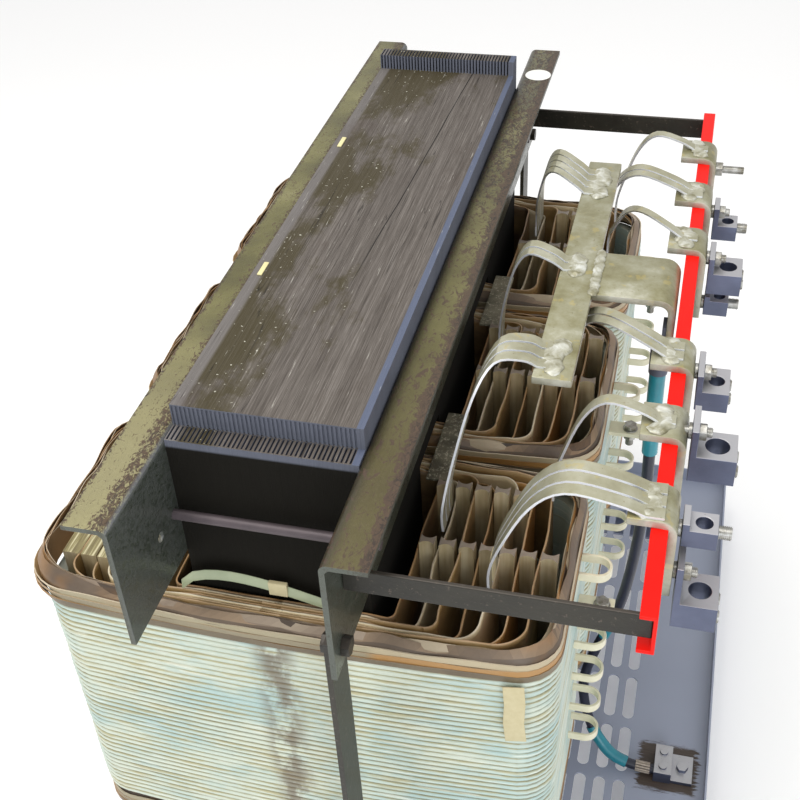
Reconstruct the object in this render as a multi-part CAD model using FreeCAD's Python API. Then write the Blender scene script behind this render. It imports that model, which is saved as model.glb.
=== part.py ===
"""Dry-type three-phase power transformer, core and coil assembly on its base pan.

Millimetres. +Z is up, Y runs along the yokes, +X faces the terminal side.
The origin is on the floor, under the middle of the base pan.
"""
import FreeCAD, Part
import math
import os

os.makedirs("parts", exist_ok=True)

V = FreeCAD.Vector

# ---- base ------------------------------------------------------------------
PAN_LENGTH = 1280.0          # along Y
PAN_WIDTH = 850.0            # along X
PAN_SHEET = 3.0
PAN_LIP = 28.0               # height of the upturned edge above the floor
RAIL_HEIGHT = 75.0           # base rails under the pan
RAIL_WIDTH = 50.0
RAIL_WALL = 5.0
RAIL_INSET = 90.0            # rail centre line in from the pan's end
ANCHOR_RADIUS = 7.0
ANCHOR_INSET = 45.0          # anchor hole in from the rail's end
SLOT_WIDTH = 19.0
SLOT_LENGTH = 90.0
SLOT_PITCH_X = 31.5
SLOT_PITCH_Y = 106.5
SLOT_COLUMNS = 6
SLOT_ROWS = 10
SLOT_EDGE = 137.0            # outermost column in from the pan's edge

# ---- core ------------------------------------------------------------------
CORE_X = -100.0              # core centre line, off the pan's middle
STACK = 210.0                # stack thickness along X
LIMB_WIDTH = 230.0
WINDOW_WIDTH = 107.5
WINDOW_HEIGHT = 465.0
YOKE_HEIGHT = 230.0
YOKE_CLEAR = 35.0            # yoke's underside above the pan floor
LAP_RUN = 25.0               # stepped lap joint at the yoke ends
LAP_DROP = 27.0
LAP_TEETH = 42
LAP_SLOT = 2.2
LAP_SLOT_DEPTH = 9.0          # slots in the ledge
LAP_RECESS = 1.5              # slots in the upright face
LAP_RIM = 1.5                 # ledge left whole at its front
LAP_RISE = 22.0               # far end: the lap stands this far above the top yoke's top
LAP_RISE_LOW = 12.0           # the same under the bottom yoke
LAP_SOLID = 7.0               # unslotted packet on the terminal side

# ---- clamps ----------------------------------------------------------------
CLAMP_LENGTH = 1185.0
CLAMP_FLANGE = 48.0
CLAMP_LEG = 163.0
CLAMP_WALL = 6.0
CLAMP_BEND = 9.0
CLAMP_DROP = 25.0            # flange below the yoke's outer face
ROD_RADIUS = 6.0
ROD_GAP = 12.0               # rod's centre off the core's end face
ROD_DEPTH = 97.0             # rod below the flange
SPARE_HOLE_GAP = 48.0        # unused hole in the legs, off the core's end face
NUT_FLATS = 19.0
NUT_THICK = 9.0
STRAP_WIDTH = 46.0
STRAP_WALL = 6.0
STRAP_LAP = 48.0             # overlap of the strap on each clamp leg
STRAP_END = 3.0              # strap in from the clamp's end
SUPPORT_SIDE = 36.0          # coil support posts, along X
SUPPORT_SEAT = 5.0           # post off the clamp's leg, clear of its bend
SUPPORT_DEPTH = 50.0
SUPPORT_OFFSET = 72.0        # along Y, each way from the coil's middle
FOOT_LENGTH = 90.0
FOOT_INSET = 120.0
PAD_THICK = 18.0
PAD_MARGIN = 6.0

# ---- coils -----------------------------------------------------------------
COIL_TOP_CLEAR = 10.0        # coil under the top yoke
COIL_BOTTOM_CLEAR = 15.0
COIL_FRONT = 315.0           # core centre to the face on the terminal side
COIL_BACK = 296.0
COIL_HALF_DEPTH = 152.0
COIL_CORNER = 48.0
WINDING_WALL_X = 16.0
WINDING_WALL_Y = 12.0
COLLAR_HEIGHT = 34.0         # barrier collar over each end of the turns
COLLAR_PROUD = 3.0
LAYERS = 7
LAYER_SHEET = 2.0
LAYER_CORNER = 8.0           # corner radius at the limb
LIMB_GAP = 4.0
BULGE_END = 8.0              # outward bow of the end coils' free faces
BULGE_INNER = 9.0
STICK_DEPTH = 16.0
STICK_BITE = 5.0
BOARD_DUCTS = 5              # outermost back ducts filled by a board
BOARD_INSET = 4.0             # board short of the coil's straight run at each end
BOARD_LOW = 2.0              # board below the coil's top
STICK_SPREAD = 9.0            # end rows in from the ends of the coil's straight run
STICK_LIFTS = (-64.0, 4.0, 8.0)      # tops of the near, middle and far rows off the coil's top
STICK_GAP = 4.0              # a stick is this much thinner than its duct
TAP_SHIFT = 35.0             # taps off the coil's middle along Y
TAP_REACH = 40.0
TAP_WIDTH = 35.0
TAP_STRIP = 3.5
TAP_HEIGHT = 12.0
TAP_PITCH = 61.0
TAP_COUNT = 6
TAB_LENGTH = 46.0             # second tap: a flat tab for a bolt
TAB_WIDTH = 26.0
TAB_WALL = 6.0
TAB_HOLE = 5.5                # radius
TAB_HOLE_INSET = 15.0
TAP_FIRST = 12.0             # first tap below the top of the turns

# ---- terminals -------------------------------------------------------------
TERM_RAIL_X = 411.0          # outer face of the rail's web, from the core centre
TERM_RAIL_DEPTH = 17.0
TERM_RAIL_HEIGHT = 50.0
TERM_RAIL_WALL = 4.0
TERM_RAIL_TOP = 66.0         # below the yoke's top
TERM_RAIL_START = -557.0     # along Y from the core's middle
TERM_RAIL_END = 484.0
ARM_HEIGHT = 30.0
ARM_WALL = 5.0
ARM_CLEAR = 3.0              # arm under the rail's top flange
ARM_FOOT = 45.0
ARM_NEAR_Y = -549.0
ARM_FAR_Y = 471.0
PAD_STATIONS = (-414.0, -286.0, -161.0, 91.0, 215.0, 342.0)
TERM_PAD_WIDTH = 56.0
TERM_PAD_WALL = 9.0
TERM_PAD_TAIL = 24.0         # reach inward past the rail
TERM_PAD_DROP = 100.0
BUS_X = 267.0
BUS_WIDTH = 45.0
BUS_WALL = 10.0
BUS_TOP = 50.0               # below the yoke's top
BUS_START = -247.0
BUS_END = 268.0
FOLD_Y = -22.0
FOLD_WIDTH = 98.0
FOLD_DROP = 78.0
FOLD_WALL = 9.0
FOLD_CLEAR = 3.0              # plate's face off the rail
LEAD_WIDTH = 15.0
LEAD_WALL = 3.0
LEAD_GAP = 3.0
LEAD_CREST = 10.0            # rise of a lead above where it lands
LEAD_LAP = 18.0              # length of a lead lying on its landing
LEAD_EDGE = 4.0              # start of the lap, in from the bar's edge
LEAD_PAD_EDGE = 18.0         # the same on a pad
# a lead's way from its layer to its landing: share along X, share along Y, share of the height
LEAD_CLIMB = ((0.10, 0.30, 0.50), (0.28, 0.58, 0.86))
LEAD_RUN = ((0.50, 0.82, 1.0), (0.82, 0.96, 0.9))
LUG_STANDOFF = 4.0           # washers between a pad and its connector
TANG_WALL = 7.0
SCREW_RADIUS = 5.0
SCREW_FLATS = 17.0
SCREW_NUT = 8.0
SCREW_TAIL = 14.0            # stud past a tang
WASHER_RADIUS = 9.0
BARE_PAD = 5                 # pad with a stud and no connector
BARE_STUD = 40.0
BARE_STUD_DROP = 20.0        # below the rail's top
BARE_NUT = 10.0
PLATE_LENGTH = 130.0         # insulation plates across two neighbouring coils
PLATE_WIDTH = 28.0
PLATE_WALL = 4.0
PLATE_SEAT = 4.0             # plate off the clamp's leg
CABLE_RADIUS = 8.0
BARREL_RADIUS = 12.0
GROUND_X = 368.0             # ground connector's block, its outer X edge
GROUND_Y = -78.0

PAN_FLOOR = RAIL_HEIGHT + PAN_SHEET
YOKE_BASE = PAN_FLOOR + YOKE_CLEAR
WINDOW_BASE = YOKE_BASE + YOKE_HEIGHT
WINDOW_TOP = WINDOW_BASE + WINDOW_HEIGHT
CORE_TOP = WINDOW_TOP + YOKE_HEIGHT
PITCH = LIMB_WIDTH + WINDOW_WIDTH
CORE_LENGTH = 3 * LIMB_WIDTH + 2 * WINDOW_WIDTH
COIL_BASE = WINDOW_BASE + COIL_BOTTOM_CLEAR
COIL_TOP = WINDOW_TOP - COIL_TOP_CLEAR
CORE_LEFT = CORE_X - STACK / 2
CORE_RIGHT = CORE_X + STACK / 2
COILS = (("near", -PITCH), ("middle", 0.0), ("far", PITCH))
COIL_STRAIGHT = COIL_HALF_DEPTH - COIL_CORNER      # half of a coil's straight run along Y
BOARD_HALF = COIL_STRAIGHT - BOARD_INSET
STICK_END = COIL_STRAIGHT - STICK_SPREAD
STICK_ROWS = tuple(zip((-STICK_END, 0.0, STICK_END), STICK_LIFTS))


def box(x0, x1, y0, y1, z0, z1):
    return Part.makeBox(x1 - x0, y1 - y0, z1 - z0, V(x0, y0, z0))


def rod(p, direction, radius, length):
    return Part.makeCylinder(radius, length, V(*p), V(*direction))


def prism(points, direction):
    """Solid from a closed polygon pushed along a direction."""
    wire = Part.makePolygon([V(*p) for p in points] + [V(*points[0])])
    return Part.Face(wire).extrude(V(*direction))


def fuse(shapes):
    whole = shapes[0].multiFuse(shapes[1:]) if len(shapes) > 1 else shapes[0]
    return whole.removeSplitter()


def hexagon_x(x, y, z, flats, thick):
    """Hexagon nut with its axis along X, starting at x."""
    r = flats / math.sqrt(3)
    ring = []
    for k in range(6):
        a = math.radians(60 * k + 30)
        ring.append((x, y + r * math.cos(a), z + r * math.sin(a)))
    return prism(ring, (thick, 0, 0))


def save(shape, name):
    shape.exportStep("parts/" + name + ".step")
    b = shape.BoundBox
    print("%-24s %3d solids  %7.1f %7.1f %7.1f  %9.0f mm3"
          % (name, len(shape.Solids), b.XLength, b.YLength, b.ZLength, shape.Volume))


# ---- base pan, rails, feet ---------------------------------------------------
def base_pan():
    x = PAN_WIDTH / 2
    y = PAN_LENGTH / 2
    outer = box(-x, x, -y, y, RAIL_HEIGHT, PAN_FLOOR + PAN_LIP)
    inner = box(-x + PAN_SHEET, x - PAN_SHEET, -y + PAN_SHEET, y - PAN_SHEET,
                PAN_FLOOR, PAN_FLOOR + PAN_LIP + 1)
    pan = outer.cut(inner)
    cutters = []
    for side in (-1, 1):
        for c in range(SLOT_COLUMNS):
            cx = side * (x - SLOT_EDGE - c * SLOT_PITCH_X)
            for r in range(SLOT_ROWS):
                cy = (r - (SLOT_ROWS - 1) / 2) * SLOT_PITCH_Y
                half = (SLOT_LENGTH - SLOT_WIDTH) / 2
                cutters.append(box(cx - SLOT_WIDTH / 2, cx + SLOT_WIDTH / 2, cy - half, cy + half,
                                   RAIL_HEIGHT - 1, PAN_FLOOR + 1))
                for e in (-1, 1):
                    cutters.append(rod((cx, cy + e * half, RAIL_HEIGHT - 1), (0, 0, 1),
                                       SLOT_WIDTH / 2, PAN_SHEET + 2))
    return pan.cut(Part.makeCompound(cutters)).removeSplitter()


def base_rails():
    x = PAN_WIDTH / 2
    rails = []
    for side in (-1, 1):
        cy = side * (PAN_LENGTH / 2 - RAIL_INSET)
        y0 = cy - RAIL_WIDTH / 2
        y1 = cy + RAIL_WIDTH / 2
        rail = box(-x, x, y0, y1, 0, RAIL_HEIGHT)
        if side < 0:
            hollow = box(-x - 1, x + 1, y0 + RAIL_WALL, y1 + 1, RAIL_WALL, RAIL_HEIGHT - RAIL_WALL)
        else:
            hollow = box(-x - 1, x + 1, y0 - 1, y1 - RAIL_WALL, RAIL_WALL, RAIL_HEIGHT - RAIL_WALL)
        rail = rail.cut(hollow)
        for end in (-1, 1):
            hole = rod((end * (x - ANCHOR_INSET), cy, -1), (0, 0, 1), ANCHOR_RADIUS, RAIL_WALL + 2)
            rail = rail.cut(hole)
        rails.append(rail)
    return Part.makeCompound(rails)


CLAMP_FACE_LOW = YOKE_BASE + CLAMP_DROP


def feet_positions():
    for side in (-1, 1):
        for end in (-1, 1):
            if side < 0:
                x0 = CORE_LEFT - CLAMP_FLANGE
                x1 = CORE_LEFT
            else:
                x0 = CORE_RIGHT
                x1 = CORE_RIGHT + CLAMP_FLANGE
            cy = end * (CLAMP_LENGTH / 2 - FOOT_INSET)
            yield x0, x1, cy - FOOT_LENGTH / 2, cy + FOOT_LENGTH / 2


def support_feet():
    feet = []
    for x0, x1, y0, y1 in feet_positions():
        feet.append(box(x0, x1, y0, y1, PAN_FLOOR + PAD_THICK, CLAMP_FACE_LOW))
    return Part.makeCompound(feet)


def isolation_pads():
    pads = []
    for x0, x1, y0, y1 in feet_positions():
        pads.append(box(x0 - PAD_MARGIN, x1 + PAD_MARGIN, y0 - PAD_MARGIN, y1 + PAD_MARGIN,
                        PAN_FLOOR, PAN_FLOOR + PAD_THICK))
    return Part.makeCompound(pads)


# ---- core --------------------------------------------------------------------
def lap_slots(ya, yb, za, zb):
    """Slots between lamination packets, side by side along X."""
    pitch = (STACK - LAP_SOLID) / LAP_TEETH
    slots = []
    for t in range(LAP_TEETH):
        cx = CORE_LEFT + (t + 0.5) * pitch
        slots.append(box(cx - LAP_SLOT / 2, cx + LAP_SLOT / 2, ya, yb, za, zb))
    return slots


def yoke(z_inner, z_outer, lap_rise):
    """Yoke block: its outer face steps down in a lap at the near end and rises at the far end."""
    y = CORE_LENGTH / 2
    block = box(CORE_LEFT, CORE_RIGHT, -y, y, min(z_inner, z_outer), max(z_inner, z_outer))
    up = 1 if z_outer > z_inner else -1
    step = z_outer - up * LAP_DROP
    rise = z_outer + up * lap_rise
    root = z_outer - up * lap_rise
    y_step = LAP_RUN - y
    raised = box(CORE_LEFT, CORE_RIGHT, y - LAP_RUN, y, min(root, rise), max(root, rise))
    za, zb = sorted((step, z_outer + up))
    cutters = [box(CORE_LEFT - 1, CORE_RIGHT + 1, -y - 1, y_step, za, zb)]
    za, zb = sorted((step, z_outer - up * LAP_RIM))
    cutters += lap_slots(y_step - LAP_RIM, y_step + LAP_RECESS, za, zb)
    za, zb = sorted((step - up * LAP_SLOT_DEPTH, step + up))
    cutters += lap_slots(LAP_RIM - y, y_step, za, zb)
    za, zb = sorted((z_outer, rise + up))
    cutters += lap_slots(y - LAP_RUN - 1, y - LAP_RIM, za, zb)
    return block.fuse(raised).cut(Part.makeCompound(cutters)).removeSplitter()


def limb(cy):
    return box(CORE_LEFT, CORE_RIGHT, cy - LIMB_WIDTH / 2, cy + LIMB_WIDTH / 2,
               WINDOW_BASE, WINDOW_TOP)


# ---- clamps --------------------------------------------------------------------
ROD_Y = CORE_LENGTH / 2 + ROD_GAP
SPARE_Y = CORE_LENGTH / 2 + SPARE_HOLE_GAP
CLAMP_FACE_HIGH = CORE_TOP - CLAMP_DROP
ROD_Z_HIGH = CLAMP_FACE_HIGH - ROD_DEPTH
ROD_Z_LOW = CLAMP_FACE_LOW + ROD_DEPTH


def clamp(side, z_face, up):
    """Angle section: leg flat on the yoke's side, flange outward at the face end."""
    x_in = CORE_LEFT if side < 0 else CORE_RIGHT
    t = CLAMP_WALL
    r = CLAMP_BEND
    outline = [(x_in, z_face - up * CLAMP_LEG), (x_in, z_face - up * r)]
    for k in range(1, 7):
        a = math.radians(90 * k / 6)
        outline.append((x_in + side * r * (1 - math.cos(a)), z_face - up * r * (1 - math.sin(a))))
    outline.append((x_in + side * CLAMP_FLANGE, z_face))
    outline.append((x_in + side * CLAMP_FLANGE, z_face - up * t))
    outline.append((x_in + side * (t + 4), z_face - up * t))
    outline.append((x_in + side * t, z_face - up * (t + 4)))
    outline.append((x_in + side * t, z_face - up * CLAMP_LEG))
    y = CLAMP_LENGTH / 2
    body = prism([(p[0], -y, p[1]) for p in outline], (0, CLAMP_LENGTH, 0))
    z_rod = z_face - up * ROD_DEPTH
    x_start = min(x_in - 1, x_in + side * (t + 1))
    for end in (-1, 1):
        body = body.cut(rod((x_start, end * ROD_Y, z_rod), (1, 0, 0), ROD_RADIUS, t + 2))
        body = body.cut(rod((x_start, end * SPARE_Y, z_rod), (1, 0, 0), ROD_RADIUS, t + 2))
    return body


def tie_rods(z):
    rods = []
    x0 = CORE_LEFT - CLAMP_WALL
    x1 = CORE_RIGHT + CLAMP_WALL
    for end in (-1, 1):
        y = end * ROD_Y
        tail = NUT_THICK + 6
        bar = rod((x0 - tail, y, z), (1, 0, 0), ROD_RADIUS, x1 - x0 + 2 * tail)
        nuts = [hexagon_x(x0 - NUT_THICK, y, z, NUT_FLATS, NUT_THICK),
                hexagon_x(x1, y, z, NUT_FLATS, NUT_THICK)]
        rods.append(fuse([bar] + nuts))
    return Part.makeCompound(rods)


def tie_straps():
    """Flat straps on the inner faces of the terminal side's legs, top clamp to bottom."""
    straps = []
    x = CORE_RIGHT
    z0 = CLAMP_FACE_LOW + CLAMP_LEG - STRAP_LAP
    z1 = CLAMP_FACE_HIGH - CLAMP_LEG + STRAP_LAP
    for end in (-1, 1):
        ya, yb = sorted((end * (CLAMP_LENGTH / 2 - STRAP_END),
                         end * (CLAMP_LENGTH / 2 - STRAP_END - STRAP_WIDTH)))
        plate = box(x - STRAP_WALL, x, ya, yb, z0, z1)
        cy = (ya + yb) / 2
        parts = [plate]
        for z in (z0 + STRAP_LAP / 2, z1 - STRAP_LAP / 2):
            parts.append(hexagon_x(x - STRAP_WALL - NUT_THICK, cy, z, NUT_FLATS, NUT_THICK))
        straps.append(fuse(parts))
        for z in (z0 + STRAP_LAP / 2, z1 - STRAP_LAP / 2):
            straps.append(hexagon_x(x + CLAMP_WALL, cy, z, NUT_FLATS, NUT_THICK))
    return Part.makeCompound(straps)


# ---- coils ---------------------------------------------------------------------
def loop_face(x0, x1, y_half, corner, bow_low, bow_high, cy, z):
    """Rounded rectangle whose two Y faces bow outward."""
    q = corner * (1 - math.sqrt(0.5))
    ya = cy - y_half
    yb = cy + y_half
    xm = (x0 + x1) / 2
    edges = [
        Part.Arc(V(x0 + corner, ya, z), V(xm, ya - bow_low, z), V(x1 - corner, ya, z)).toShape(),
        Part.Arc(V(x1 - corner, ya, z), V(x1 - q, ya + q, z), V(x1, ya + corner, z)).toShape(),
        Part.LineSegment(V(x1, ya + corner, z), V(x1, yb - corner, z)).toShape(),
        Part.Arc(V(x1, yb - corner, z), V(x1 - q, yb - q, z), V(x1 - corner, yb, z)).toShape(),
        Part.Arc(V(x1 - corner, yb, z), V(xm, yb + bow_high, z), V(x0 + corner, yb, z)).toShape(),
        Part.Arc(V(x0 + corner, yb, z), V(x0 + q, yb - q, z), V(x0, yb - corner, z)).toShape(),
        Part.LineSegment(V(x0, yb - corner, z), V(x0, ya + corner, z)).toShape(),
        Part.Arc(V(x0, ya + corner, z), V(x0 + q, ya + q, z), V(x0 + corner, ya, z)).toShape(),
    ]
    return Part.Face(Part.Wire(edges))


def shell(outer, inner, z0, z1):
    """Ring between two loops, each given as loop_face arguments without z."""
    body = loop_face(*outer, z0).extrude(V(0, 0, z1 - z0))
    core = loop_face(*inner, z0 - 1).extrude(V(0, 0, z1 - z0 + 2))
    return body.cut(core)


def bows(name):
    low = BULGE_END if name == "near" else BULGE_INNER
    high = BULGE_END if name == "far" else BULGE_INNER
    return low, high


def winding_loop(name, cy, inset_x, inset_y, corner):
    low, high = bows(name)
    return (CORE_X - COIL_BACK + inset_x, CORE_X + COIL_FRONT - inset_x,
            COIL_HALF_DEPTH - inset_y, corner, low, high, cy)


def layer_edges(k):
    """Outer faces of layer k: back x, front x, half depth, corner, bow share."""
    share = (k + 1) / (LAYERS + 1)
    inner_half = STACK / 2 + LIMB_GAP
    front = inner_half + share * (COIL_FRONT - WINDING_WALL_X - inner_half)
    back = inner_half + share * (COIL_BACK - WINDING_WALL_X - inner_half)
    y_in = LIMB_WIDTH / 2 + LIMB_GAP
    depth = y_in + share * (COIL_HALF_DEPTH - WINDING_WALL_Y - y_in)
    corner = LAYER_CORNER + share * (COIL_CORNER - WINDING_WALL_Y - LAYER_CORNER)
    return CORE_X - back, CORE_X + front, depth, corner, share


def layer_loop(name, cy, k, inset):
    x0, x1, depth, corner, share = layer_edges(k)
    low, high = bows(name)
    return (x0 + inset, x1 - inset, depth - inset, corner - inset,
            low * share, high * share, cy)


def coil_winding(name, cy):
    outer = winding_loop(name, cy, 0, 0, COIL_CORNER)
    inner = winding_loop(name, cy, WINDING_WALL_X, WINDING_WALL_Y, COIL_CORNER - WINDING_WALL_Y)
    return shell(outer, inner, COIL_BASE + COLLAR_HEIGHT, COIL_TOP - COLLAR_HEIGHT)


def coil_collars(name, cy):
    outer = winding_loop(name, cy, -COLLAR_PROUD, -COLLAR_PROUD, COIL_CORNER + COLLAR_PROUD)
    inner = winding_loop(name, cy, WINDING_WALL_X, WINDING_WALL_Y, COIL_CORNER - WINDING_WALL_Y)
    top = shell(outer, inner, COIL_TOP - COLLAR_HEIGHT, COIL_TOP)
    bottom = shell(outer, inner, COIL_BASE, COIL_BASE + COLLAR_HEIGHT)
    return Part.makeCompound([bottom, top])


def coil_layers(name, cy):
    shells = []
    for k in range(LAYERS):
        outer = layer_loop(name, cy, k, 0)
        inner = layer_loop(name, cy, k, LAYER_SHEET)
        shells.append(shell(outer, inner, COIL_BASE, COIL_TOP))
    return Part.makeCompound(shells)


def stick(xa, xb, cy, proud):
    """Spacer stick of dog-bone section across a duct from xa to xb."""
    h = STICK_DEPTH / 2
    xm = (xa + xb) / 2
    z = COIL_BASE
    edges = [
        Part.Arc(V(xa, cy - h, z), V(xm, cy - h + STICK_BITE, z), V(xb, cy - h, z)).toShape(),
        Part.LineSegment(V(xb, cy - h, z), V(xb, cy + h, z)).toShape(),
        Part.Arc(V(xb, cy + h, z), V(xm, cy + h - STICK_BITE, z), V(xa, cy + h, z)).toShape(),
        Part.LineSegment(V(xa, cy + h, z), V(xa, cy - h, z)).toShape(),
    ]
    height = COIL_TOP + proud - COIL_BASE
    return Part.Face(Part.Wire(edges)).extrude(V(0, 0, height))


def coil_spacers(name, cy):
    sticks = []
    inner_front = CORE_X + COIL_FRONT - WINDING_WALL_X
    inner_back = CORE_X - COIL_BACK + WINDING_WALL_X
    for k in range(LAYERS):
        x0, x1 = layer_edges(k)[:2]
        if k + 1 < LAYERS:
            n0, n1 = layer_edges(k + 1)[:2]
            n0 += LAYER_SHEET
            n1 -= LAYER_SHEET
        else:
            n0 = inner_back
            n1 = inner_front
        for row, proud in STICK_ROWS:
            if free_of_leads(name, x1, n1, cy + row):
                sticks.append(stick(x1, n1 - STICK_GAP, cy + row, proud))
        if k < LAYERS - BOARD_DUCTS:
            sticks.extend(stick(n0 + STICK_GAP, x0, cy + row, proud) for row, proud in STICK_ROWS)
        else:
            sticks.append(box(n0, x0, cy - BOARD_HALF, cy + BOARD_HALF,
                              COIL_BASE, COIL_TOP - BOARD_LOW))
    return Part.makeCompound(sticks)


def tap_loop(x, y, z):
    """Flat strip bent to a U, legs ending on the coil's face."""
    r = TAP_WIDTH / 2
    run = TAP_REACH - r
    outer = box(x, x + run, y - r, y + r, z, z + TAP_HEIGHT)
    outer = outer.fuse(rod((x + run, y, z), (0, 0, 1), r, TAP_HEIGHT))
    s = r - TAP_STRIP
    inner = box(x - 1, x + run, y - s, y + s, z - 1, z + TAP_HEIGHT + 1)
    inner = inner.fuse(rod((x + run, y, z - 1), (0, 0, 1), s, TAP_HEIGHT + 2))
    return outer.cut(inner).removeSplitter()


def tap_tab(x, y, z):
    """Flat tab with a bolt hole."""
    tab = box(x, x + TAB_LENGTH, y - TAB_WIDTH / 2, y + TAB_WIDTH / 2, z, z + TAB_WALL)
    hole = rod((x + TAB_LENGTH - TAB_HOLE_INSET, y, z - 1), (0, 0, 1), TAB_HOLE, TAB_WALL + 2)
    return tab.cut(hole)


def coil_taps(cy):
    x = CORE_X + COIL_FRONT
    y = cy + TAP_SHIFT
    z = COIL_TOP - COLLAR_HEIGHT - TAP_FIRST
    taps = [tap_loop(x, y, z - k * TAP_PITCH) for k in range(TAP_COUNT) if k != 1]
    taps.append(tap_tab(x, y, z - TAP_PITCH))
    return Part.makeCompound(taps)


def coil_supports():
    """Posts on the bottom clamps' flanges, under the coils."""
    posts = []
    for _, cy in COILS:
        for side in (-1, 1):
            edge = CORE_LEFT if side < 0 else CORE_RIGHT
            x0, x1 = sorted((edge + side * (CLAMP_WALL + SUPPORT_SEAT),
                             edge + side * (CLAMP_WALL + SUPPORT_SEAT + SUPPORT_SIDE)))
            for way in (-1, 1):
                y = cy + way * SUPPORT_OFFSET
                posts.append(box(x0, x1, y - SUPPORT_DEPTH / 2, y + SUPPORT_DEPTH / 2,
                                 CLAMP_FACE_LOW + CLAMP_WALL, COIL_BASE))
    return Part.makeCompound(posts)


def insulation_plates():
    """Thin plates laid on the coils' inner layers, across each gap between coils."""
    plates = []
    for cy in (-PITCH / 2, PITCH / 2):
        for side in (-1, 1):
            edge = CORE_LEFT if side < 0 else CORE_RIGHT
            x0, x1 = sorted((edge + side * (CLAMP_WALL + PLATE_SEAT),
                             edge + side * (CLAMP_WALL + PLATE_SEAT + PLATE_WIDTH)))
            plates.append(box(x0, x1, cy - PLATE_LENGTH / 2, cy + PLATE_LENGTH / 2,
                              COIL_TOP, COIL_TOP + PLATE_WALL))
    return Part.makeCompound(plates)


# ---- terminals -----------------------------------------------------------------
RAIL_OUT = CORE_X + TERM_RAIL_X
RAIL_IN = RAIL_OUT - TERM_RAIL_DEPTH
RAIL_TOP_Z = CORE_TOP - TERM_RAIL_TOP


def terminal_rail():
    t = TERM_RAIL_WALL
    body = box(RAIL_IN, RAIL_OUT, TERM_RAIL_START, TERM_RAIL_END,
               RAIL_TOP_Z - TERM_RAIL_HEIGHT, RAIL_TOP_Z)
    hollow = box(RAIL_IN - 1, RAIL_OUT - t, TERM_RAIL_START - 1, TERM_RAIL_END + 1,
                 RAIL_TOP_Z - TERM_RAIL_HEIGHT + t, RAIL_TOP_Z - t)
    return body.cut(hollow)


def rail_arms():
    """Flat bars from the clamp's leg into the rail, a bent foot on each end."""
    arms = []
    z1 = RAIL_TOP_Z - TERM_RAIL_WALL - ARM_CLEAR
    z0 = z1 - ARM_HEIGHT
    xa = CORE_RIGHT + CLAMP_WALL
    xb = RAIL_OUT - TERM_RAIL_WALL
    for y in (ARM_NEAR_Y, ARM_FAR_Y):
        way = 1 if y < 0 else -1
        bar = box(xa, xb, y, y + ARM_WALL, z0, z1)
        ya, yb = sorted((y if way > 0 else y + ARM_WALL, y + way * ARM_FOOT))
        foot = box(xa, xa + ARM_WALL, ya, yb, z0, z1)
        tab = box(xb - ARM_WALL, xb, ya, yb, z0, z1)
        arms.append(fuse([bar, foot, tab]))
    return Part.makeCompound(arms)


def terminal_pads():
    pads = []
    t = TERM_PAD_WALL
    for y in PAD_STATIONS:
        y0 = y - TERM_PAD_WIDTH / 2
        y1 = y + TERM_PAD_WIDTH / 2
        top = box(RAIL_IN - TERM_PAD_TAIL, RAIL_OUT + t, y0, y1, RAIL_TOP_Z, RAIL_TOP_Z + t)
        drop = box(RAIL_OUT, RAIL_OUT + t, y0, y1, RAIL_TOP_Z - TERM_PAD_DROP, RAIL_TOP_Z)
        pads.append(fuse([top, drop]))
    return Part.makeCompound(pads)


FOLD_X = RAIL_IN - FOLD_CLEAR


def neutral_bus():
    """Flat bar along the coils, with a wide plate folded down beside the rail."""
    z1 = CORE_TOP - BUS_TOP
    x = CORE_X + BUS_X
    bar = box(x - BUS_WIDTH / 2, x + BUS_WIDTH / 2, BUS_START, BUS_END, z1 - BUS_WALL, z1)
    y0 = FOLD_Y - FOLD_WIDTH / 2
    y1 = FOLD_Y + FOLD_WIDTH / 2
    plate = box(x, FOLD_X, y0, y1, z1 - FOLD_WALL, z1)
    drop = box(FOLD_X - FOLD_WALL, FOLD_X, y0, y1, z1 - FOLD_DROP, z1)
    return fuse([bar, plate, drop])


# ---- leads ---------------------------------------------------------------------
# coil, layer it leaves, offset from the coil's middle along Y, landing, strips side by side
LEADS = (
    ("near", 1, 45.0, ("bus", -205.0), 3),
    ("near", 4, -40.0, ("pad", 0), 3),
    ("near", 6, 104.0, ("pad", 1), 1),
    ("middle", 1, 62.0, ("bus", -10.0), 2),
    ("middle", 5, 50.0, ("pad", 2), 2),
    ("far", 1, 60.0, ("bus", 205.0), 4),
    ("far", 6, -12.0, ("pad", 3), 1),
    ("far", 5, 40.0, ("pad", 4), 2),
    ("far", 6, 98.0, ("pad", 5), 1),
)
CENTRE = dict(COILS)


def group_width(count):
    return count * LEAD_WIDTH + (count - 1) * LEAD_GAP


def free_of_leads(name, x0, x1, y):
    """True where no lead of this coil stands over a spacer stick."""
    for coil, k, offset, _, count in LEADS:
        if coil != name:
            continue
        lead_x = layer_edges(k)[1] - LAYER_SHEET / 2
        near_x = x0 - 14 < lead_x < x1 + 4
        reach = group_width(count) / 2 + STICK_DEPTH / 2 + 3
        if near_x and abs(CENTRE[coil] + offset - y) < reach:
            return False
    return True


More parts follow.
